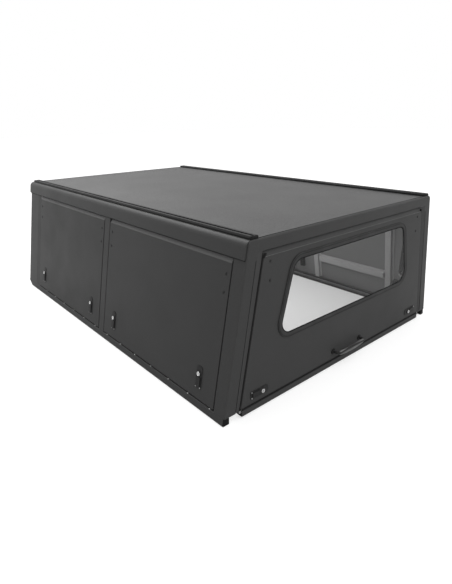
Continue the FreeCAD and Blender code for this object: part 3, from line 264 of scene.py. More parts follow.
def tinted_glass(name, tint=0.76, sheen=0.03):
    """Flat tinted pane: clear tint, with a mirror-like sheen on its outer faces that grows at low angles."""
    material, tree, shader = new_material(name)
    output = tree.nodes["Material Output"]
    tree.nodes.remove(shader)
    clear = node(tree, "ShaderNodeBsdfTransparent", Color=(tint, tint, tint, 1))
    gloss = node(tree, "ShaderNodeBsdfGlossy", Roughness=sheen)
    haze = noise(tree, object_coords(tree), 7.0, 3.0)
    tree.links.new(ramp(tree, haze, 0.3, 0.7, sheen * 0.7, sheen * 1.6), gloss.inputs["Roughness"])
    facing = node(tree, "ShaderNodeLayerWeight", Blend=0.5)
    power = node(tree, "ShaderNodeMath", operation="POWER")
    tree.links.new(facing.outputs["Facing"], power.inputs[0])
    power.inputs[1].default_value = 5.0
    share = ramp(tree, power.outputs["Value"], 0.0, 1.0, 0.04, 1.0)
    geometry = node(tree, "ShaderNodeNewGeometry")
    outside = node(tree, "ShaderNodeMath", operation="SUBTRACT")
    outside.inputs[0].default_value = 1.0
    tree.links.new(geometry.outputs["Backfacing"], outside.inputs[1])
    factor = node(tree, "ShaderNodeMath", operation="MULTIPLY")
    tree.links.new(share, factor.inputs[0])
    tree.links.new(outside.outputs["Value"], factor.inputs[1])
    mix = node(tree, "ShaderNodeMixShader")
    tree.links.new(factor.outputs["Value"], mix.inputs["Fac"])
    tree.links.new(clear.outputs["BSDF"], mix.inputs[1])
    tree.links.new(gloss.outputs["BSDF"], mix.inputs[2])
    tree.links.new(mix.outputs["Shader"], output.inputs["Surface"])
    return material


def grey(value):
    """A neutral colour."""
    return (value, value, value)


MATERIALS = {
    # The inner colours of the paints are painted light on the faces that look into the load space.
    "panel_paint": powder_coat("panel_paint", grey(0.031), grey(0.044), 0.46, inner=grey(0.20)),
    "frame_paint": powder_coat("frame_paint", grey(0.031), grey(0.044), 0.44, inner=grey(0.29)),
    "roof_paint": embossed_coat("roof_paint", grey(0.012), grey(0.040), 0.5),
    # Pale paint for a painted highlight on the door bevels and on the rear door's crease.
    "painted_highlight_paint": powder_coat("painted_highlight_paint", grey(0.075), grey(0.095), 0.4),
    "track_metal": powder_coat("track_metal", grey(0.006), grey(0.011), 0.5, sheen=0.15),
    "black_plastic": moulded("black_plastic", grey(0.003), grey(0.006), 0.7, 1400.0, 0.0001),
    "seal_rubber": moulded("seal_rubber", grey(0.026), grey(0.036), 0.55, 900.0, 0.00008),
    "window_glass": tinted_glass("window_glass"),
    "tube_paint": powder_coat("tube_paint", grey(0.008), grey(0.012), 0.25, 0.00003),
    "rod_steel": metal("rod_steel", grey(0.72), 0.14, (1, 1, 12)),
    "bracket_steel": metal("bracket_steel", grey(0.52), 0.36, (8, 8, 1)),
    "inner_metal": powder_coat("inner_metal", grey(0.42), grey(0.48), 0.5, 0.00008, 0.0008),
    "latch_black": powder_coat("latch_black", grey(0.014), grey(0.022), 0.42, 0.00012, 0.0006),
    # The grip's pale grey is partly its own tone and partly painted light on its top, which the rear wall
    # shades from the lamp.
    "grip": moulded("grip", grey(0.10), grey(0.13), 0.4, 1200.0, 0.0001),
    "chrome": metal("chrome", grey(0.86), 0.12, (6, 6, 1), 0.00001),
}


def dress_frame():
    """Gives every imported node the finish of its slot."""
    for row in frame["record"]["subparts"]:
        mesh = frame["nodes"][row["node"]].data
        mesh.materials.clear()
        mesh.materials.append(MATERIALS[row["material_slot"]])


# Making pieces

def only(piece):
    """Makes piece the only selected and active object."""
    bpy.ops.object.select_all(action="DESELECT")
    piece.select_set(True)
    bpy.context.view_layer.objects.active = piece


def turned(name, profile, steps=32):
    """A turned piece about z from rows of radius and height, in metres."""
    mesh = bpy.data.meshes.new(name)
    points = [(radius, 0, height) for radius, height in profile]
    mesh.from_pydata(points, [(i, i + 1) for i in range(len(points) - 1)], [])
    piece = bpy.data.objects.new(name, mesh)
    bpy.context.scene.collection.objects.link(piece)
    only(piece)
    bpy.ops.object.mode_set(mode="EDIT")
    bpy.ops.mesh.select_all(action="SELECT")
    bpy.ops.mesh.spin(steps=steps, angle=math.tau, center=(0, 0, 0), axis=(0, 0, 1))
    bpy.ops.mesh.select_all(action="SELECT")
    bpy.ops.mesh.remove_doubles(threshold=0.00001)
    bpy.ops.mesh.normals_make_consistent(inside=False)
    bpy.ops.object.mode_set(mode="OBJECT")
    return piece


def strip(name, points, radius, closed):
    """A round strip along straight runs."""
    curve = bpy.data.curves.new(name, "CURVE")
    curve.dimensions = "3D"
    curve.bevel_depth = radius
    curve.bevel_resolution = 3
    run = curve.splines.new("POLY")
    run.points.add(len(points) - 1)
    for point, place in zip(run.points, points):
        point.co = (*place, 1)
    run.use_cyclic_u = closed
    piece = bpy.data.objects.new(name, curve)
    bpy.context.scene.collection.objects.link(piece)
    only(piece)
    bpy.ops.object.convert(target="MESH")
    return bpy.context.object


def rounded_path(rows, steps=6):
    """Points of a convex outline, counter-clockwise, from rows of x, y and corner radius."""
    points = []
    for index, (x, y, radius) in enumerate(rows):
        here = Vector((x, y))
        back = (Vector(rows[index - 1][:2]) - here).normalized()
        ahead = (Vector(rows[(index + 1) % len(rows)][:2]) - here).normalized()
        half = back.angle(ahead) / 2
        centre = here + (back + ahead).normalized() * (radius / math.sin(half))
        start = here + back * (radius / math.tan(half)) - centre
        sweep = math.pi - 2 * half
        for step in range(steps + 1):
            turn = Matrix.Rotation(sweep * step / steps, 2)
            points.append(centre + turn @ start)
    return [(point.x, point.y, 0.0) for point in points]


def thicken(piece, height):
    """Pulls a flat mesh up by height and closes it."""
    only(piece)
    bpy.ops.object.mode_set(mode="EDIT")
    bpy.ops.mesh.select_all(action="SELECT")
    bpy.ops.mesh.extrude_region_move(TRANSFORM_OT_translate={"value": (0, 0, height)})
    bpy.ops.mesh.select_all(action="SELECT")
    bpy.ops.mesh.normals_make_consistent(inside=False)
    bpy.ops.object.mode_set(mode="OBJECT")
    return piece


def mesh_piece(name, points, faces):
    """A new object from points and faces."""
    mesh = bpy.data.meshes.new(name)
    mesh.from_pydata(points, [], faces)
    piece = bpy.data.objects.new(name, mesh)
    bpy.context.scene.collection.objects.link(piece)
    return piece


def flat_ring(name, outer, inner, height):
    """A ring between two outlines with the same number of points."""
    count = len(outer)
    faces = [(i, (i + 1) % count, count + (i + 1) % count, count + i) for i in range(count)]
    return thicken(mesh_piece(name, outer + inner, faces), height)


def flat_plate(name, outline, height):
    """A plate of an outline."""
    return thicken(mesh_piece(name, outline, [tuple(range(len(outline)))]), height)


def join_pieces(pieces):
    """Joins pieces into the first of them."""
    bpy.ops.object.select_all(action="DESELECT")
    for piece in pieces:
        piece.select_set(True)
    bpy.context.view_layer.objects.active = pieces[0]
    if len(pieces) > 1:
        bpy.ops.object.join()
    return bpy.context.view_layer.objects.active


def repeat(template, name, places):
    """One object made of copies of template at the given matrices."""
    copies = []
    for place in places:
        mesh = template.data.copy()
        mesh.transform(place)
        if place.determinant() < 0:
            mesh.flip_normals()
        copy = bpy.data.objects.new(name, mesh)
        bpy.context.scene.collection.objects.link(copy)
        copies.append(copy)
    return join_pieces(copies)


def mirrored(places):
    """The given matrices and then their mirror images on the other side."""
    return places + [MIRROR @ place for place in places]


def finish_piece(piece, name, slot, body, material=None, smooth=35.0):
    """Names a piece, gives it its finish and lets it ride on its body."""
    piece.name = name
    piece.data.materials.clear()
    piece.data.materials.append(MATERIALS[material or slot])
    only(piece)
    bpy.ops.object.shade_smooth_by_angle(angle=math.radians(smooth))
    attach(piece, body)


def wall_place(side, t, w, y):
    """Matrix that puts a piece modelled about z onto a side wall, z outward and y up the wall."""
    sign = SIDES[side]
    outward = Vector((math.cos(LEAN), 0, math.sin(LEAN)))
    up = Vector((-math.sin(LEAN), 0, math.cos(LEAN)))
    spot = Vector((HALF_BASE, y + REAR_Y, FOOT_Z)) + outward * t + up * w
    ahead = up.cross(outward)
    flip = Matrix.Diagonal((sign, 1, 1, 1))
    columns = Matrix((ahead, up, outward)).transposed().to_4x4()
    return flip @ Matrix.Translation(spot) @ columns


def rear_place(x, z, out=0.0):
    """Matrix that puts a piece modelled about z onto the rear wall, z toward the rear."""
    return Matrix.Translation((x, REAR_Y - out, z)) @ Matrix.Rotation(QUARTER, 4, "X")


def front_place(x, z, out=0.0):
    """Matrix that puts a piece modelled about z onto the front wall, z toward the front."""
    turn = Matrix.Rotation(math.radians(180), 4, "Z") @ Matrix.Rotation(QUARTER, 4, "X")
    return Matrix.Translation((x, REAR_Y + BODY_LENGTH + out, z)) @ turn


def wall_x(t, z):
    """Place in x of a plane t outside the right wall, at height z."""
    return HALF_BASE + t / math.cos(LEAN) - (z - FOOT_Z) * math.tan(LEAN)


def door_span(place):
    """Ends of a side door."""
    low, high = SIDE_OPENINGS[place]
    return low + DOOR_GAP, high - DOOR_GAP


def side_doors():
    """Side, name and ends of every side door."""
    for side in SIDES:
        for place in SIDE_OPENINGS:
            start, end = door_span(place)
            yield side, side + "_" + place, start, end


def side_latches(start, end):
    """Middles of the two latches of a side door."""
    return start + SIDE_LATCH_INSET, end - SIDE_LATCH_INSET


# Locks, rivets and bolts

def lock_face():
    """Chromed lock cylinder with a raised rim and a key slot."""
    rows = [(0.0092, -0.0036), (0.0092, 0.0), (0.0086, 0.0006), (0.0074, 0.0006), (0.0070, 0.0), (0.0, 0.0)]
    rim = turned("lock_rim", rows, 40)
    bpy.ops.object.select_all(action="DESELECT")
    bpy.ops.mesh.primitive_cube_add(size=1, location=(0, 0, 0.00005))
    slot = bpy.context.object
    slot.scale = (0.0012, 0.0075, 0.0006)
    bpy.ops.object.transform_apply(location=True, scale=True)
    slot.data.materials.append(MATERIALS["black_plastic"])
    rim.data.materials.append(MATERIALS["chrome"])
    return join_pieces([rim, slot])


def keep_materials(piece, name, body):
    """Finishes a piece that has its own materials already."""
    piece.name = name
    only(piece)
    bpy.ops.object.shade_smooth_by_angle(angle=math.radians(35))
    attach(piece, body)


def lock_faces():
    """Lock cylinders of all latches."""
    template = lock_face()
    for side, name, start, end in side_doors():
        spots = [wall_place(side, LOCK_FACE_OUT, SIDE_LATCH_W + LOCK_UP, y) for y in side_latches(start, end)]
        keep_materials(repeat(template, "locks", spots), name + "_lock_faces", name + "_door")
    spots = [rear_place(s * (REAR_LATCH_X - LOCK_UP), REAR_LATCH_Z, LOCK_FACE_OUT) for s in SIDES.values()]
    keep_materials(repeat(template, "locks", spots), "rear_lock_faces", "rear_door")
    bpy.data.objects.remove(template)


def dome_head(name, radius, height):
    """Low domed head with a flat rim."""
    rows = [(radius, 0.0), (radius, height * 0.2)]
    rows += [(radius * math.cos(a), height * (0.2 + 0.8 * math.sin(a))) for a in (0.4, 0.8, 1.2)]
    return turned(name, rows + [(0.0, height)], 28)


def latch_rivets():
    """Two rivets at the foot of every latch."""
    template = dome_head("rivet", 0.0031, 0.0016)
    down = LATCH_HALF_LENGTH - RIVET_FROM_END
    for side, name, start, end in side_doors():
        spots = []
        for y in side_latches(start, end):
            for step in (-RIVET_STEP, RIVET_STEP):
                spots.append(wall_place(side, RIVET_OUT, SIDE_LATCH_W - down, y + step))
        piece = repeat(template, "rivets", spots)
        finish_piece(piece, name + "_latch_rivets", "bracket_steel", name + "_door")
    spots = []
    for s in SIDES.values():
        for step in (-RIVET_STEP, RIVET_STEP):
            spots.append(rear_place(s * (REAR_LATCH_X + down), REAR_LATCH_Z + step, RIVET_OUT))
    finish_piece(repeat(template, "rivets", spots), "rear_latch_rivets", "bracket_steel", "rear_door")
    bpy.data.objects.remove(template)


def latch_shadow_rims():
    """Thin dark rim round every latch plate: painted contact shadow at the plate's edge."""
    grow = 0.0016
    half = LATCH_HALF_WIDTH + grow
    tall = LATCH_HALF_LENGTH + grow
    rims = []
    for inset in (0.0, 0.004):
        rims.append(rounded_path([
            (inset - half, inset - tall, 0.005), (half - inset, inset - tall, 0.005),
            (half - inset, tall - inset, 0.0145 - inset / 2),
            (inset - half, tall - inset, 0.0145 - inset / 2)]))
    template = flat_ring("shadow_rim", rims[0], rims[1], 0.0014)
    for side, name, start, end in side_doors():
        spots = [wall_place(side, 0.0, SIDE_LATCH_W, y) for y in side_latches(start, end)]
        piece = repeat(template, "shadow_rims", spots)
        finish_piece(piece, name + "_latch_shadow_rims", "seal_rubber", name + "_door")
    spots = [rear_place(s * REAR_LATCH_X, REAR_LATCH_Z) @ Matrix.Rotation(s * QUARTER, 4, "Z")
             for s in SIDES.values()]
    finish_piece(repeat(template, "shadow_rims", spots), "rear_latch_shadow_rims", "seal_rubber", "rear_door")
    bpy.data.objects.remove(template)


def door_bolts():
    """Domed bolts that hold the strut brackets, near the top corners of every door."""
    template = dome_head("bolt", 0.006, 0.0028)
    for side, name, start, end in side_doors():
        spots = [wall_place(side, 0.0, w, y) for y in (start + BOLT_INSET, end - BOLT_INSET) for w in BOLT_W]
        piece = repeat(template, "bolts", spots)
        finish_piece(piece, name + "_door_bolts", "latch_black", name + "_door")
    spots = [rear_place(s * REAR_BOLT_X, z) for s in SIDES.values() for z in REAR_BOLT_Z]
    finish_piece(repeat(template, "bolts", spots), "rear_door_bolts", "latch_black", "rear_door")
    bpy.data.objects.remove(template)


def lock_nut():
    """Hexagonal lock nut with a round collar, modelled about z from its seat."""
    bpy.ops.object.select_all(action="DESELECT")
    bpy.ops.mesh.primitive_cylinder_add(vertices=6, radius=0.0072, depth=0.0032, location=(0, 0, 0.0022))
    nut = bpy.context.object
    chamfer = nut.modifiers.new("chamfer", "BEVEL")
    chamfer.width = 0.0007
    chamfer.segments = 2
    bpy.ops.object.modifier_apply(modifier="chamfer")
    collar = turned("collar", [(0.0, 0.0), (0.0078, 0.0), (0.0078, 0.0006), (0.0, 0.0006)], 24)
    dome = turned("dome", [(0.0052, 0.0038), (0.0048, 0.0048), (0.0030, 0.0054), (0.0, 0.0054)], 24)
    return join_pieces([nut, collar, dome])


def strut_nuts():
    """Lock nuts on the frame studs that carry the gas struts."""
    template = lock_nut()
    reach = STRUT_EYE / 2 + 0.0003
    spots = []
    for side, _, start, end in side_doors():
        for y, outward in ((start + STRUT_INSET, -1), (end - STRUT_INSET, 1)):
            spot = wall_place(side, STRUT_FOOT_T, STRUT_FOOT_W, y - outward * reach)
            spots.append(spot @ Matrix.Rotation(-QUARTER * outward, 4, "Y"))
    y, z = REAR_STRUT_FOOT
    for sign in SIDES.values():
        spot = Matrix.Translation((sign * (REAR_STRUT_X - reach), REAR_Y + y, z))
        spots.append(spot @ Matrix.Rotation(-QUARTER * sign, 4, "Y"))
    finish_piece(repeat(template, "nuts", spots), "strut_nuts", "bracket_steel", "frame")
    bpy.data.objects.remove(template)


def sill_screws():
    """Small bright screws along the foot of each side door opening."""
    template = dome_head("screw", 0.0042, 0.0022)
    spots = []
    for side in SIDES:
        y = SCREW_FIRST
        while y < SCREW_END:
            spots.append(wall_place(side, -0.004, 0.0005, y))
            y += SCREW_PITCH
    upright = [place @ Matrix.Rotation(LEAN - QUARTER, 4, "X") for place in spots]
    finish_piece(repeat(template, "screws", upright), "sill_screws", "bracket_steel", "frame")
    bpy.data.objects.remove(template)


# Window edges, roof seams, ends of the beams, black strips of painted shade on posts and pale strips of
# painted highlight on doors

def window_path(grow):
    """Outline of a window opening on XY, grown outward."""
    slope = (WINDOW_FOOT[0] - WINDOW_TOP[0]) / (WINDOW_TOP[1] - WINDOW_FOOT[1])
    side = grow * math.sqrt(1 + slope ** 2)
    top = (WINDOW_TOP[0] - slope * grow + side, WINDOW_TOP[1] + grow)
    foot = (WINDOW_FOOT[0] + slope * grow + side, WINDOW_FOOT[1] - grow)
    radius = WINDOW_R + grow
    return rounded_path([(-foot[0], foot[1], radius), (foot[0], foot[1], radius), (top[0], top[1], radius),
                         (-top[0], top[1], radius)], 12)


def window_trim():
    """Black band printed round the edge of each pane and the filler strip in the face of its rubber."""
    for wall, body, put in (("rear", "rear_door", rear_place), ("front", "frame", front_place)):
        template = flat_ring("band", window_path(-0.0115), window_path(-0.0175), 0.0002)
        band = repeat(template, "band", [put(0, 0, GLASS_FACE)])
        finish_piece(band, wall + "_glass_band", "black_plastic", body)
        bpy.data.objects.remove(template)
        points = [put(0, 0, SEAL_PROUD - 0.0004) @ Vector(point) for point in window_path(0.0035)]
        filler = strip("filler", points, 0.0011, True)
        finish_piece(filler, wall + "_seal_filler", "black_plastic", body, smooth=50)


def roof_seams():
    """Dark sealant beads along the rear and front edges of the roof sheet."""
    for wall, y in (("rear", 0.0101), ("front", BODY_LENGTH - 0.0101)):
        ends = [(x, REAR_Y + y, ROOF_Z + 0.0001) for x in (-0.608, -0.3, 0.0, 0.3, 0.608)]
        lifted = [(x, y_place, z + 0.0012 * (1 - (x / ROOF_PANEL_HALF) ** 2)) for x, y_place, z in ends]
        bead = strip("bead", lifted, 0.0018, False)
        finish_piece(bead, wall + "_roof_sealant", "black_plastic", "frame", smooth=50)


def beam_foot():
    """Outer foot of the right roof beam, in x and z."""
    return (HALF_BASE + BEAM_PROUD * math.cos(LEAN) - BEAM_SEAM_W * math.sin(LEAN),
            FOOT_Z + BEAM_PROUD * math.sin(LEAN) + BEAM_SEAM_W * math.cos(LEAN))


def beam_end_caps():
    """Painted plates that close the rear ends of the roof beams."""
    top_w = (ROOF_Z - FOOT_Z) / math.cos(LEAN) - BEAM_PROUD * math.tan(LEAN)
    corner = (HALF_BASE + BEAM_PROUD * math.cos(LEAN) - top_w * math.sin(LEAN), ROOF_Z)
    foot = beam_foot()
    inner = (foot[0] - 0.012, foot[1] - 0.0023)
    rows = [(inner[0], inner[1], 0.001), (foot[0], foot[1], 0.001), (corner[0], corner[1], BEAM_BEND),
            (corner[0] - 0.034, ROOF_Z, 0.001)]
    template = flat_plate("cap", rounded_path(rows, 10), COVER_PLATE)
    caps = repeat(template, "caps", mirrored([rear_place(0, 0, -BEAM_START_Y)]))
    finish_piece(caps, "beam_end_caps", "frame_paint", "frame")
    bpy.data.objects.remove(template)


def door_top_strips():
    """Pale strips on the bevelled upper edges of the side doors, under the roof beams: a painted highlight
    where the upward-facing bevel catches the light.
    """
    slope = math.atan2(BEVEL_IN, BEVEL_TOP_W - BEVEL_W)
    for side, name, start, end in side_doors():
        half = (end - start) / 2 - 0.004
        rows = [(-half, 0.0025, 0.002), (half, 0.0025, 0.002), (half, 0.0215, 0.002), (-half, 0.0215, 0.002)]
        template = flat_plate("strip", rounded_path(rows, 4), 0.0005)
        spot = wall_place(side, 0.0, BEVEL_W, (start + end) / 2) @ Matrix.Rotation(-slope, 4, "X")
        piece = repeat(template, "strip", [spot])
        finish_piece(piece, name + "_door_top_strip", "frame_paint", name + "_door", "painted_highlight_paint")
        bpy.data.objects.remove(template)


def rear_crease():
    """Rolled bead along the fold under the rear door's bevelled upper edge, in pale paint as a painted
    highlight on the crease.
    """
    half = wall_x(-REAR_GAP_T, REAR_BEVEL_Z) - 0.010
    points = [(x, REAR_Y + 0.0003, REAR_BEVEL_Z) for x in (-half, -half / 3, half / 3, half)]
    piece = strip("crease", points, 0.0011, False)
    finish_piece(piece, "rear_door_crease", "frame_paint", "rear_door", "painted_highlight_paint", smooth=60)


def front_corner_plates():
    """Riveted gusset plates over the front ends of the roof beams and the front wall's top corners."""
    foot = beam_foot()
    edge = foot[0] - (ROOF_Z - foot[1]) * math.tan(LEAN)
    rows = [(foot[0] - 0.100, ROOF_Z - 0.0005, 0.004), (foot[0] - 0.100, foot[1] - 0.028, 0.010),
            (foot[0] - 0.048, foot[1] - 0.028, 0.008), (foot[0] - 0.034, foot[1] - 0.010, 0.004),
            (foot[0] - 0.0062, foot[1] - 0.010, 0.001), (foot[0] - 0.0078, foot[1] - 0.0015, 0.0005),
            (foot[0], foot[1], 0.001), (edge, ROOF_Z - 0.0005, BEAM_BEND)]
    template = flat_plate("gusset", rounded_path(rows, 8), COVER_PLATE)
    face_y = REAR_Y + BODY_LENGTH + COVER_PLATE
    spot = Matrix.Translation((0, face_y, 0)) @ Matrix.Rotation(QUARTER, 4, "X")
    plates = repeat(template, "plates", mirrored([spot]))
    finish_piece(plates, "front_corner_plates", "frame_paint", "frame")
    bpy.data.objects.remove(template)
    rivet = dome_head("rivet", 0.0042, 0.0018)
    seat = Matrix.Rotation(-QUARTER, 4, "X")
    spots = [Matrix.Translation((foot[0] - along, face_y, foot[1] + rise)) @ seat
             for along, rise in ((0.092, 0.055), (0.092, -0.018), (0.056, -0.020), (0.022, 0.010))]
    rivets = repeat(rivet, "rivets", mirrored(spots))
    finish_piece(rivets, "front_corner_rivets", "latch_black", "frame")
    bpy.data.objects.remove(rivet)


def post_top_shade_strips():
    """Black strips between the tops of the posts and the roof beams: painted shade under the beam's lower
    edge.
    """
    runs = ((0.0085, 0.0695), (SIDE_OPENINGS["rear"][1], SIDE_OPENINGS["front"][0]),
            (SIDE_OPENINGS["front"][1], BODY_LENGTH - 0.003))
    for side in SIDES:
        parts = []
        for low, high in runs:
            points = [wall_place(side, -0.0012, BEAM_SEAM_W - 0.0014, y).translation for y in (low, high)]
            parts.append(strip("shade_strip", points, 0.0034, False))
        finish_piece(join_pieces(parts), side + "_post_top_shade_strips", "black_plastic", "frame", smooth=50)


# Small parts of the rear wall: handle, painted shade lines on the posts, corner blocks and foot

def handle_grip():
    """Thick moulded grip round the bar of the rear handle, bowed downward, and black discs under its feet as
    painted shadow.
    """
    length = HANDLE_HALF - 0.010
    rows = ((-0.97, 1.5, 0.0008), (-0.85, 1.12, 0.0022), (-0.5, 1.04, 0.0030), (0.0, 1.03, 0.0010),
            (0.5, 0.97, -0.0010), (0.85, 0.96, -0.0030), (0.97, 0.89, -0.0022), (1.0, 0.67, -0.0008))
    bpy.ops.object.select_all(action="DESELECT")
    bpy.ops.mesh.primitive_circle_add(vertices=20, radius=0.0075, fill_type="NGON",
                                      rotation=(0, QUARTER, 0))
    grip = bpy.context.object
    bpy.ops.object.transform_apply(location=False, rotation=True, scale=False)
    bpy.ops.object.mode_set(mode="EDIT")
    bpy.ops.mesh.select_all(action="SELECT")
    place = -1.0
    for share, growth, drop in rows:
        step = (share - place) * length
        bpy.ops.mesh.extrude_region_move(TRANSFORM_OT_translate={"value": (step, 0, -drop)})
        bpy.ops.transform.resize(value=(1, growth, growth))
        place = share
    bpy.ops.mesh.select_all(action="SELECT")
    bpy.ops.mesh.normals_make_consistent(inside=False)
    bpy.ops.transform.resize(value=(1, 0.54, 1))
    bpy.ops.object.mode_set(mode="OBJECT")
    low = min(vertex.co.x for vertex in grip.data.vertices)
    grip.location = (-length - low, REAR_Y - HANDLE_REACH + 0.0012, HANDLE_Z)
    bpy.ops.object.transform_apply(location=True, rotation=False, scale=False)
    # The grip's pale material is partly painted light on its top.
    finish_piece(grip, "rear_handle_grip", "black_plastic", "rear_door", "grip", smooth=60)
    # Black discs under the handle's feet: painted contact shadow.
    foot_shadow = turned("foot_shadow", [(0.0, 0.0), (0.0145, 0.0), (0.0145, 0.0012), (0.0125, 0.0022), (0.0, 0.0022)], 32)
    foot_shadows = repeat(foot_shadow, "foot_shadows", [rear_place(x, HANDLE_Z) for x in (-HANDLE_HALF, HANDLE_HALF)])
    finish_piece(foot_shadows, "rear_handle_foot_shadows", "black_plastic", "rear_door")
    bpy.data.objects.remove(foot_shadow)


def post_shade_lines():
    """Thin black lines down the rear faces of the corner posts, a little apart from the door gap: painted
    shade at the fold of the posts.
    """
    foot_z, top_z = POST_SHADE_LINE_Z
    for side, sign in SIDES.items():
        points = []
        for share in (0.0, 0.25, 0.5, 0.75, 1.0):
            z = foot_z + (top_z - foot_z) * share
            points.append((sign * (wall_x(-REAR_GAP_T, z) + 0.024 + 0.010 * share), REAR_Y + 0.0006, z))
        seam = strip("seam", points, 0.0015, False)
        finish_piece(seam, side + "_post_shade_line", "black_plastic", "frame", smooth=60)


def door_corner_blocks():
    """Black blocks in the notched upper corners of the rear door, just under its hinge: painted shade filling
    the dark gap there.
    """
    top_z, foot_z = REAR_TOP_Z - 0.009, REAR_TOP_Z - 0.027
    edge_top = wall_x(-REAR_GAP_T, top_z) - 0.005
    edge_foot = wall_x(-REAR_GAP_T, foot_z) - 0.005
    rows = [(edge_foot - 0.006, foot_z, 0.002), (edge_foot, foot_z, 0.0005), (edge_top, top_z, 0.0005),
            (edge_top - 0.014, top_z, 0.003)]
    template = flat_plate("block", rounded_path(rows, 4), 0.0035)
    blocks = repeat(template, "blocks", mirrored([rear_place(0, 0, -0.0030)]))
    finish_piece(blocks, "rear_door_corner_blocks", "black_plastic", "rear_door")
    bpy.data.objects.remove(template)


def foot_strip():
    """Black strip between the rear door's foot and the rail under it: painted shade in the recess there."""
    half = wall_x(-REAR_GAP_T, REAR_FOOT_Z) - 0.012
    rows = [(-half, 0.0335), (half, 0.0335), (half, 0.0415), (-half, 0.0415)]
    path = rounded_path([(x, z, 0.0008) for x, z in rows], 3)
    template = flat_plate("foot_strip", path, 0.0034)
    piece = repeat(template, "foot_strip", [rear_place(0, 0, -0.0006)])
    finish_piece(piece, "rear_foot_strip", "black_plastic", "rear_door")
    bpy.data.objects.remove(template)


def foot_tabs():
    """Small plated tabs under the feet of the rear posts, beside the door."""
    rows = [(0.706, 0.024, 0.003), (0.720, 0.024, 0.003), (0.722, 0.0365, 0.001), (0.704, 0.0365, 0.001)]
    template = flat_plate("tab", rounded_path(rows), 0.002)
    tabs = repeat(template, "tabs", mirrored([rear_place(0, 0, -0.0035)]))
    finish_piece(tabs, "rear_foot_tabs", "bracket_steel", "frame")
    bpy.data.objects.remove(template)


# Rubber door seals

def door_seals():
    """Round rubber seals on the jambs of every opening."""
    half_top = wall_x(-REAR_GAP_T, REAR_TOP_Z) + 0.008
    half_foot = wall_x(-REAR_GAP_T, FOOT_Z) + 0.006
    corners = [(half_foot, FOOT_Z + 0.008), (half_top, REAR_TOP_Z - 0.006), (-half_top, REAR_TOP_Z - 0.006),
               (-half_foot, FOOT_Z + 0.008)]
    piece = strip("seal", [(x, REAR_Y + SEAL_DEPTH, z) for x, z in corners], SEAL_RADIUS, False)
    finish_piece(piece, "rear_door_seal", "black_plastic", "frame", smooth=50)
    for side in SIDES:
        for place, (low, high) in SIDE_OPENINGS.items():
            corners = [(0.012, low + 0.007), (0.628, low + 0.007),
                       (0.628, high - 0.007), (0.012, high - 0.007)]
            points = [wall_place(side, -SEAL_DEPTH, w, y).translation for w, y in corners]
            piece = strip("seal", points, SEAL_RADIUS, True)
            finish_piece(piece, side + "_" + place + "_door_seal", "black_plastic", "frame", smooth=50)


# Light, floor and camera

def world_light():
    """White backdrop and soft light from all round, stronger from the rear right."""
    world = bpy.data.worlds.new("studio")
    bpy.context.scene.world = world
    world.use_nodes = True
    tree = world.node_tree
    tree.nodes.clear()
    output = node(tree, "ShaderNodeOutputWorld")
    path = node(tree, "ShaderNodeLightPath")
    shown = node(tree, "ShaderNodeMath", operation="MAXIMUM")
    seen = node(tree, "ShaderNodeMath", operation="MAXIMUM")
    tree.links.new(path.outputs["Is Camera Ray"], shown.inputs[0])
    tree.links.new(path.outputs["Is Glossy Ray"], shown.inputs[1])
    tree.links.new(shown.outputs["Value"], seen.inputs[0])
    tree.links.new(path.outputs["Is Transmission Ray"], seen.inputs[1])
    white = node(tree, "ShaderNodeBackground", Color=(1, 1, 1, 1), Strength=1.0)
    soft = node(tree, "ShaderNodeBackground", Color=(1, 1, 1, 1))
    toward = node(tree, "ShaderNodeVectorMath", operation="DOT_PRODUCT")
    tree.links.new(node(tree, "ShaderNodeTexCoord").outputs["Generated"], toward.inputs[0])
    toward.inputs[1].default_value = (0.30, -0.84, 0.46)
    tree.links.new(ramp(tree, toward.outputs["Value"], -0.7, 0.8, 0.2, 1.65), soft.inputs["Strength"])
    mix = node(tree, "ShaderNodeMixShader")
    tree.links.new(seen.outputs["Value"], mix.inputs["Fac"])
    tree.links.new(soft.outputs["Background"], mix.inputs[1])
    tree.links.new(white.outputs["Background"], mix.inputs[2])
    tree.links.new(mix.outputs["Shader"], output.inputs["Surface"])


def pale_floor():
    """Large plain floor under the canopy."""
    bpy.ops.object.select_all(action="DESELECT")
    bpy.ops.mesh.primitive_plane_add(size=60, location=(0, 0, -0.0005))
    floor = bpy.context.object
    floor.name = "floor"
    material, tree, shader = new_material("floor_paint")
    spots = noise(tree, object_coords(tree), 30.0)
    tree.links.new(ramp(tree, spots, 0.3, 0.7, 0.7, 0.8), shader.inputs["Roughness"])
    shader.inputs["Base Color"].default_value = (0.5, 0.5, 0.5, 1)
    shader.inputs["Specular IOR Level"].default_value = 0.1
    shader.inputs["Emission Color"].default_value = (1, 1, 1, 1)
    seen = node(tree, "ShaderNodeLightPath").outputs["Is Camera Ray"]
    tree.links.new(ramp(tree, seen, 0.0, 1.0, 0.0, 0.56), shader.inputs["Emission Strength"])
    floor.data.materials.append(material)


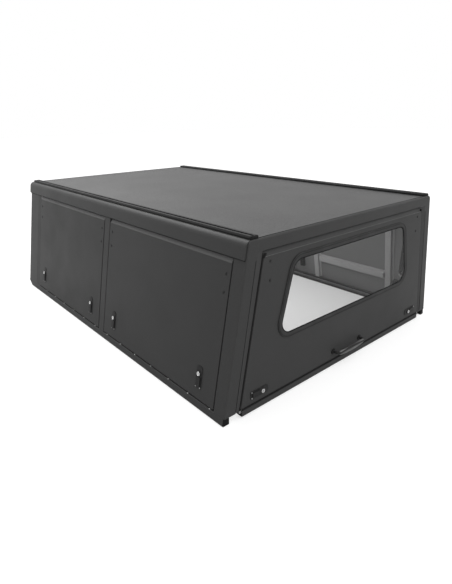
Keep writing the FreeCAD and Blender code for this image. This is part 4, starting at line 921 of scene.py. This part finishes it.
def area_light(name, place, target, size, power):
    """A large square softbox aimed at a point."""
    light = bpy.data.lights.new(name, "AREA")
    light.energy = power
    light.size = size
    lamp = bpy.data.objects.new(name, light)
    bpy.context.scene.collection.objects.link(lamp)
    lamp.location = place
    lamp.rotation_mode = "QUATERNION"
    lamp.rotation_quaternion = (Vector(target) - Vector(place)).to_track_quat("-Z", "Y")
    return lamp


def studio_lights():
    """One big softbox overhead, and a soft panel under the roof for the load space."""
    area_light("softbox_top", (-0.4, 2.7, 4.3), (0, 0.6, 0.4), 4.0, 146)
    inside = area_light("softbox_inside", (0.0, 0.0, 0.69), (0, 0, 0), 1.0, 14)
    inside.data.shape = "RECTANGLE"
    inside.data.size_y = 1.8
    inside.visible_camera = False
    inside.visible_glossy = False


def camera():
    """Camera at the photograph's viewing angle, with its tilt and lens."""
    azimuth = 0.703425
    elevation = 0.377096
    roll = -0.018636
    ahead = Vector((math.sin(azimuth) * math.cos(elevation), math.cos(azimuth) * math.cos(elevation),
                    -math.sin(elevation)))
    right = Vector((math.cos(azimuth), -math.sin(azimuth), 0))
    up = right.cross(ahead)
    right_r = right * math.cos(roll) + up * math.sin(roll)
    up_r = up * math.cos(roll) - right * math.sin(roll)
    data = bpy.data.cameras.new("camera")
    data.sensor_width = SENSOR_MM
    data.lens = LENS_PIXELS / PHOTO_HEIGHT * SENSOR_MM
    made = bpy.data.objects.new("camera", data)
    bpy.context.scene.collection.objects.link(made)
    made.matrix_world = Matrix.Translation((-1.719357, REAR_Y - 1.108603, 1.149145)) @ Matrix(
        (right_r, up_r, -ahead)).transposed().to_4x4()
    bpy.context.scene.camera = made


def main():
    """Builds the whole scene."""
    bpy.context.scene.view_settings.view_transform = "Standard"
    dress_frame()
    lock_faces()
    latch_rivets()
    latch_shadow_rims()
    door_bolts()
    strut_nuts()
    sill_screws()
    door_seals()
    window_trim()
    roof_seams()
    beam_end_caps()
    front_corner_plates()
    post_top_shade_strips()
    door_top_strips()
    rear_crease()
    handle_grip()
    post_shade_lines()
    door_corner_blocks()
    foot_strip()
    foot_tabs()
    world_light()
    pale_floor()
    studio_lights()
    camera()


main()
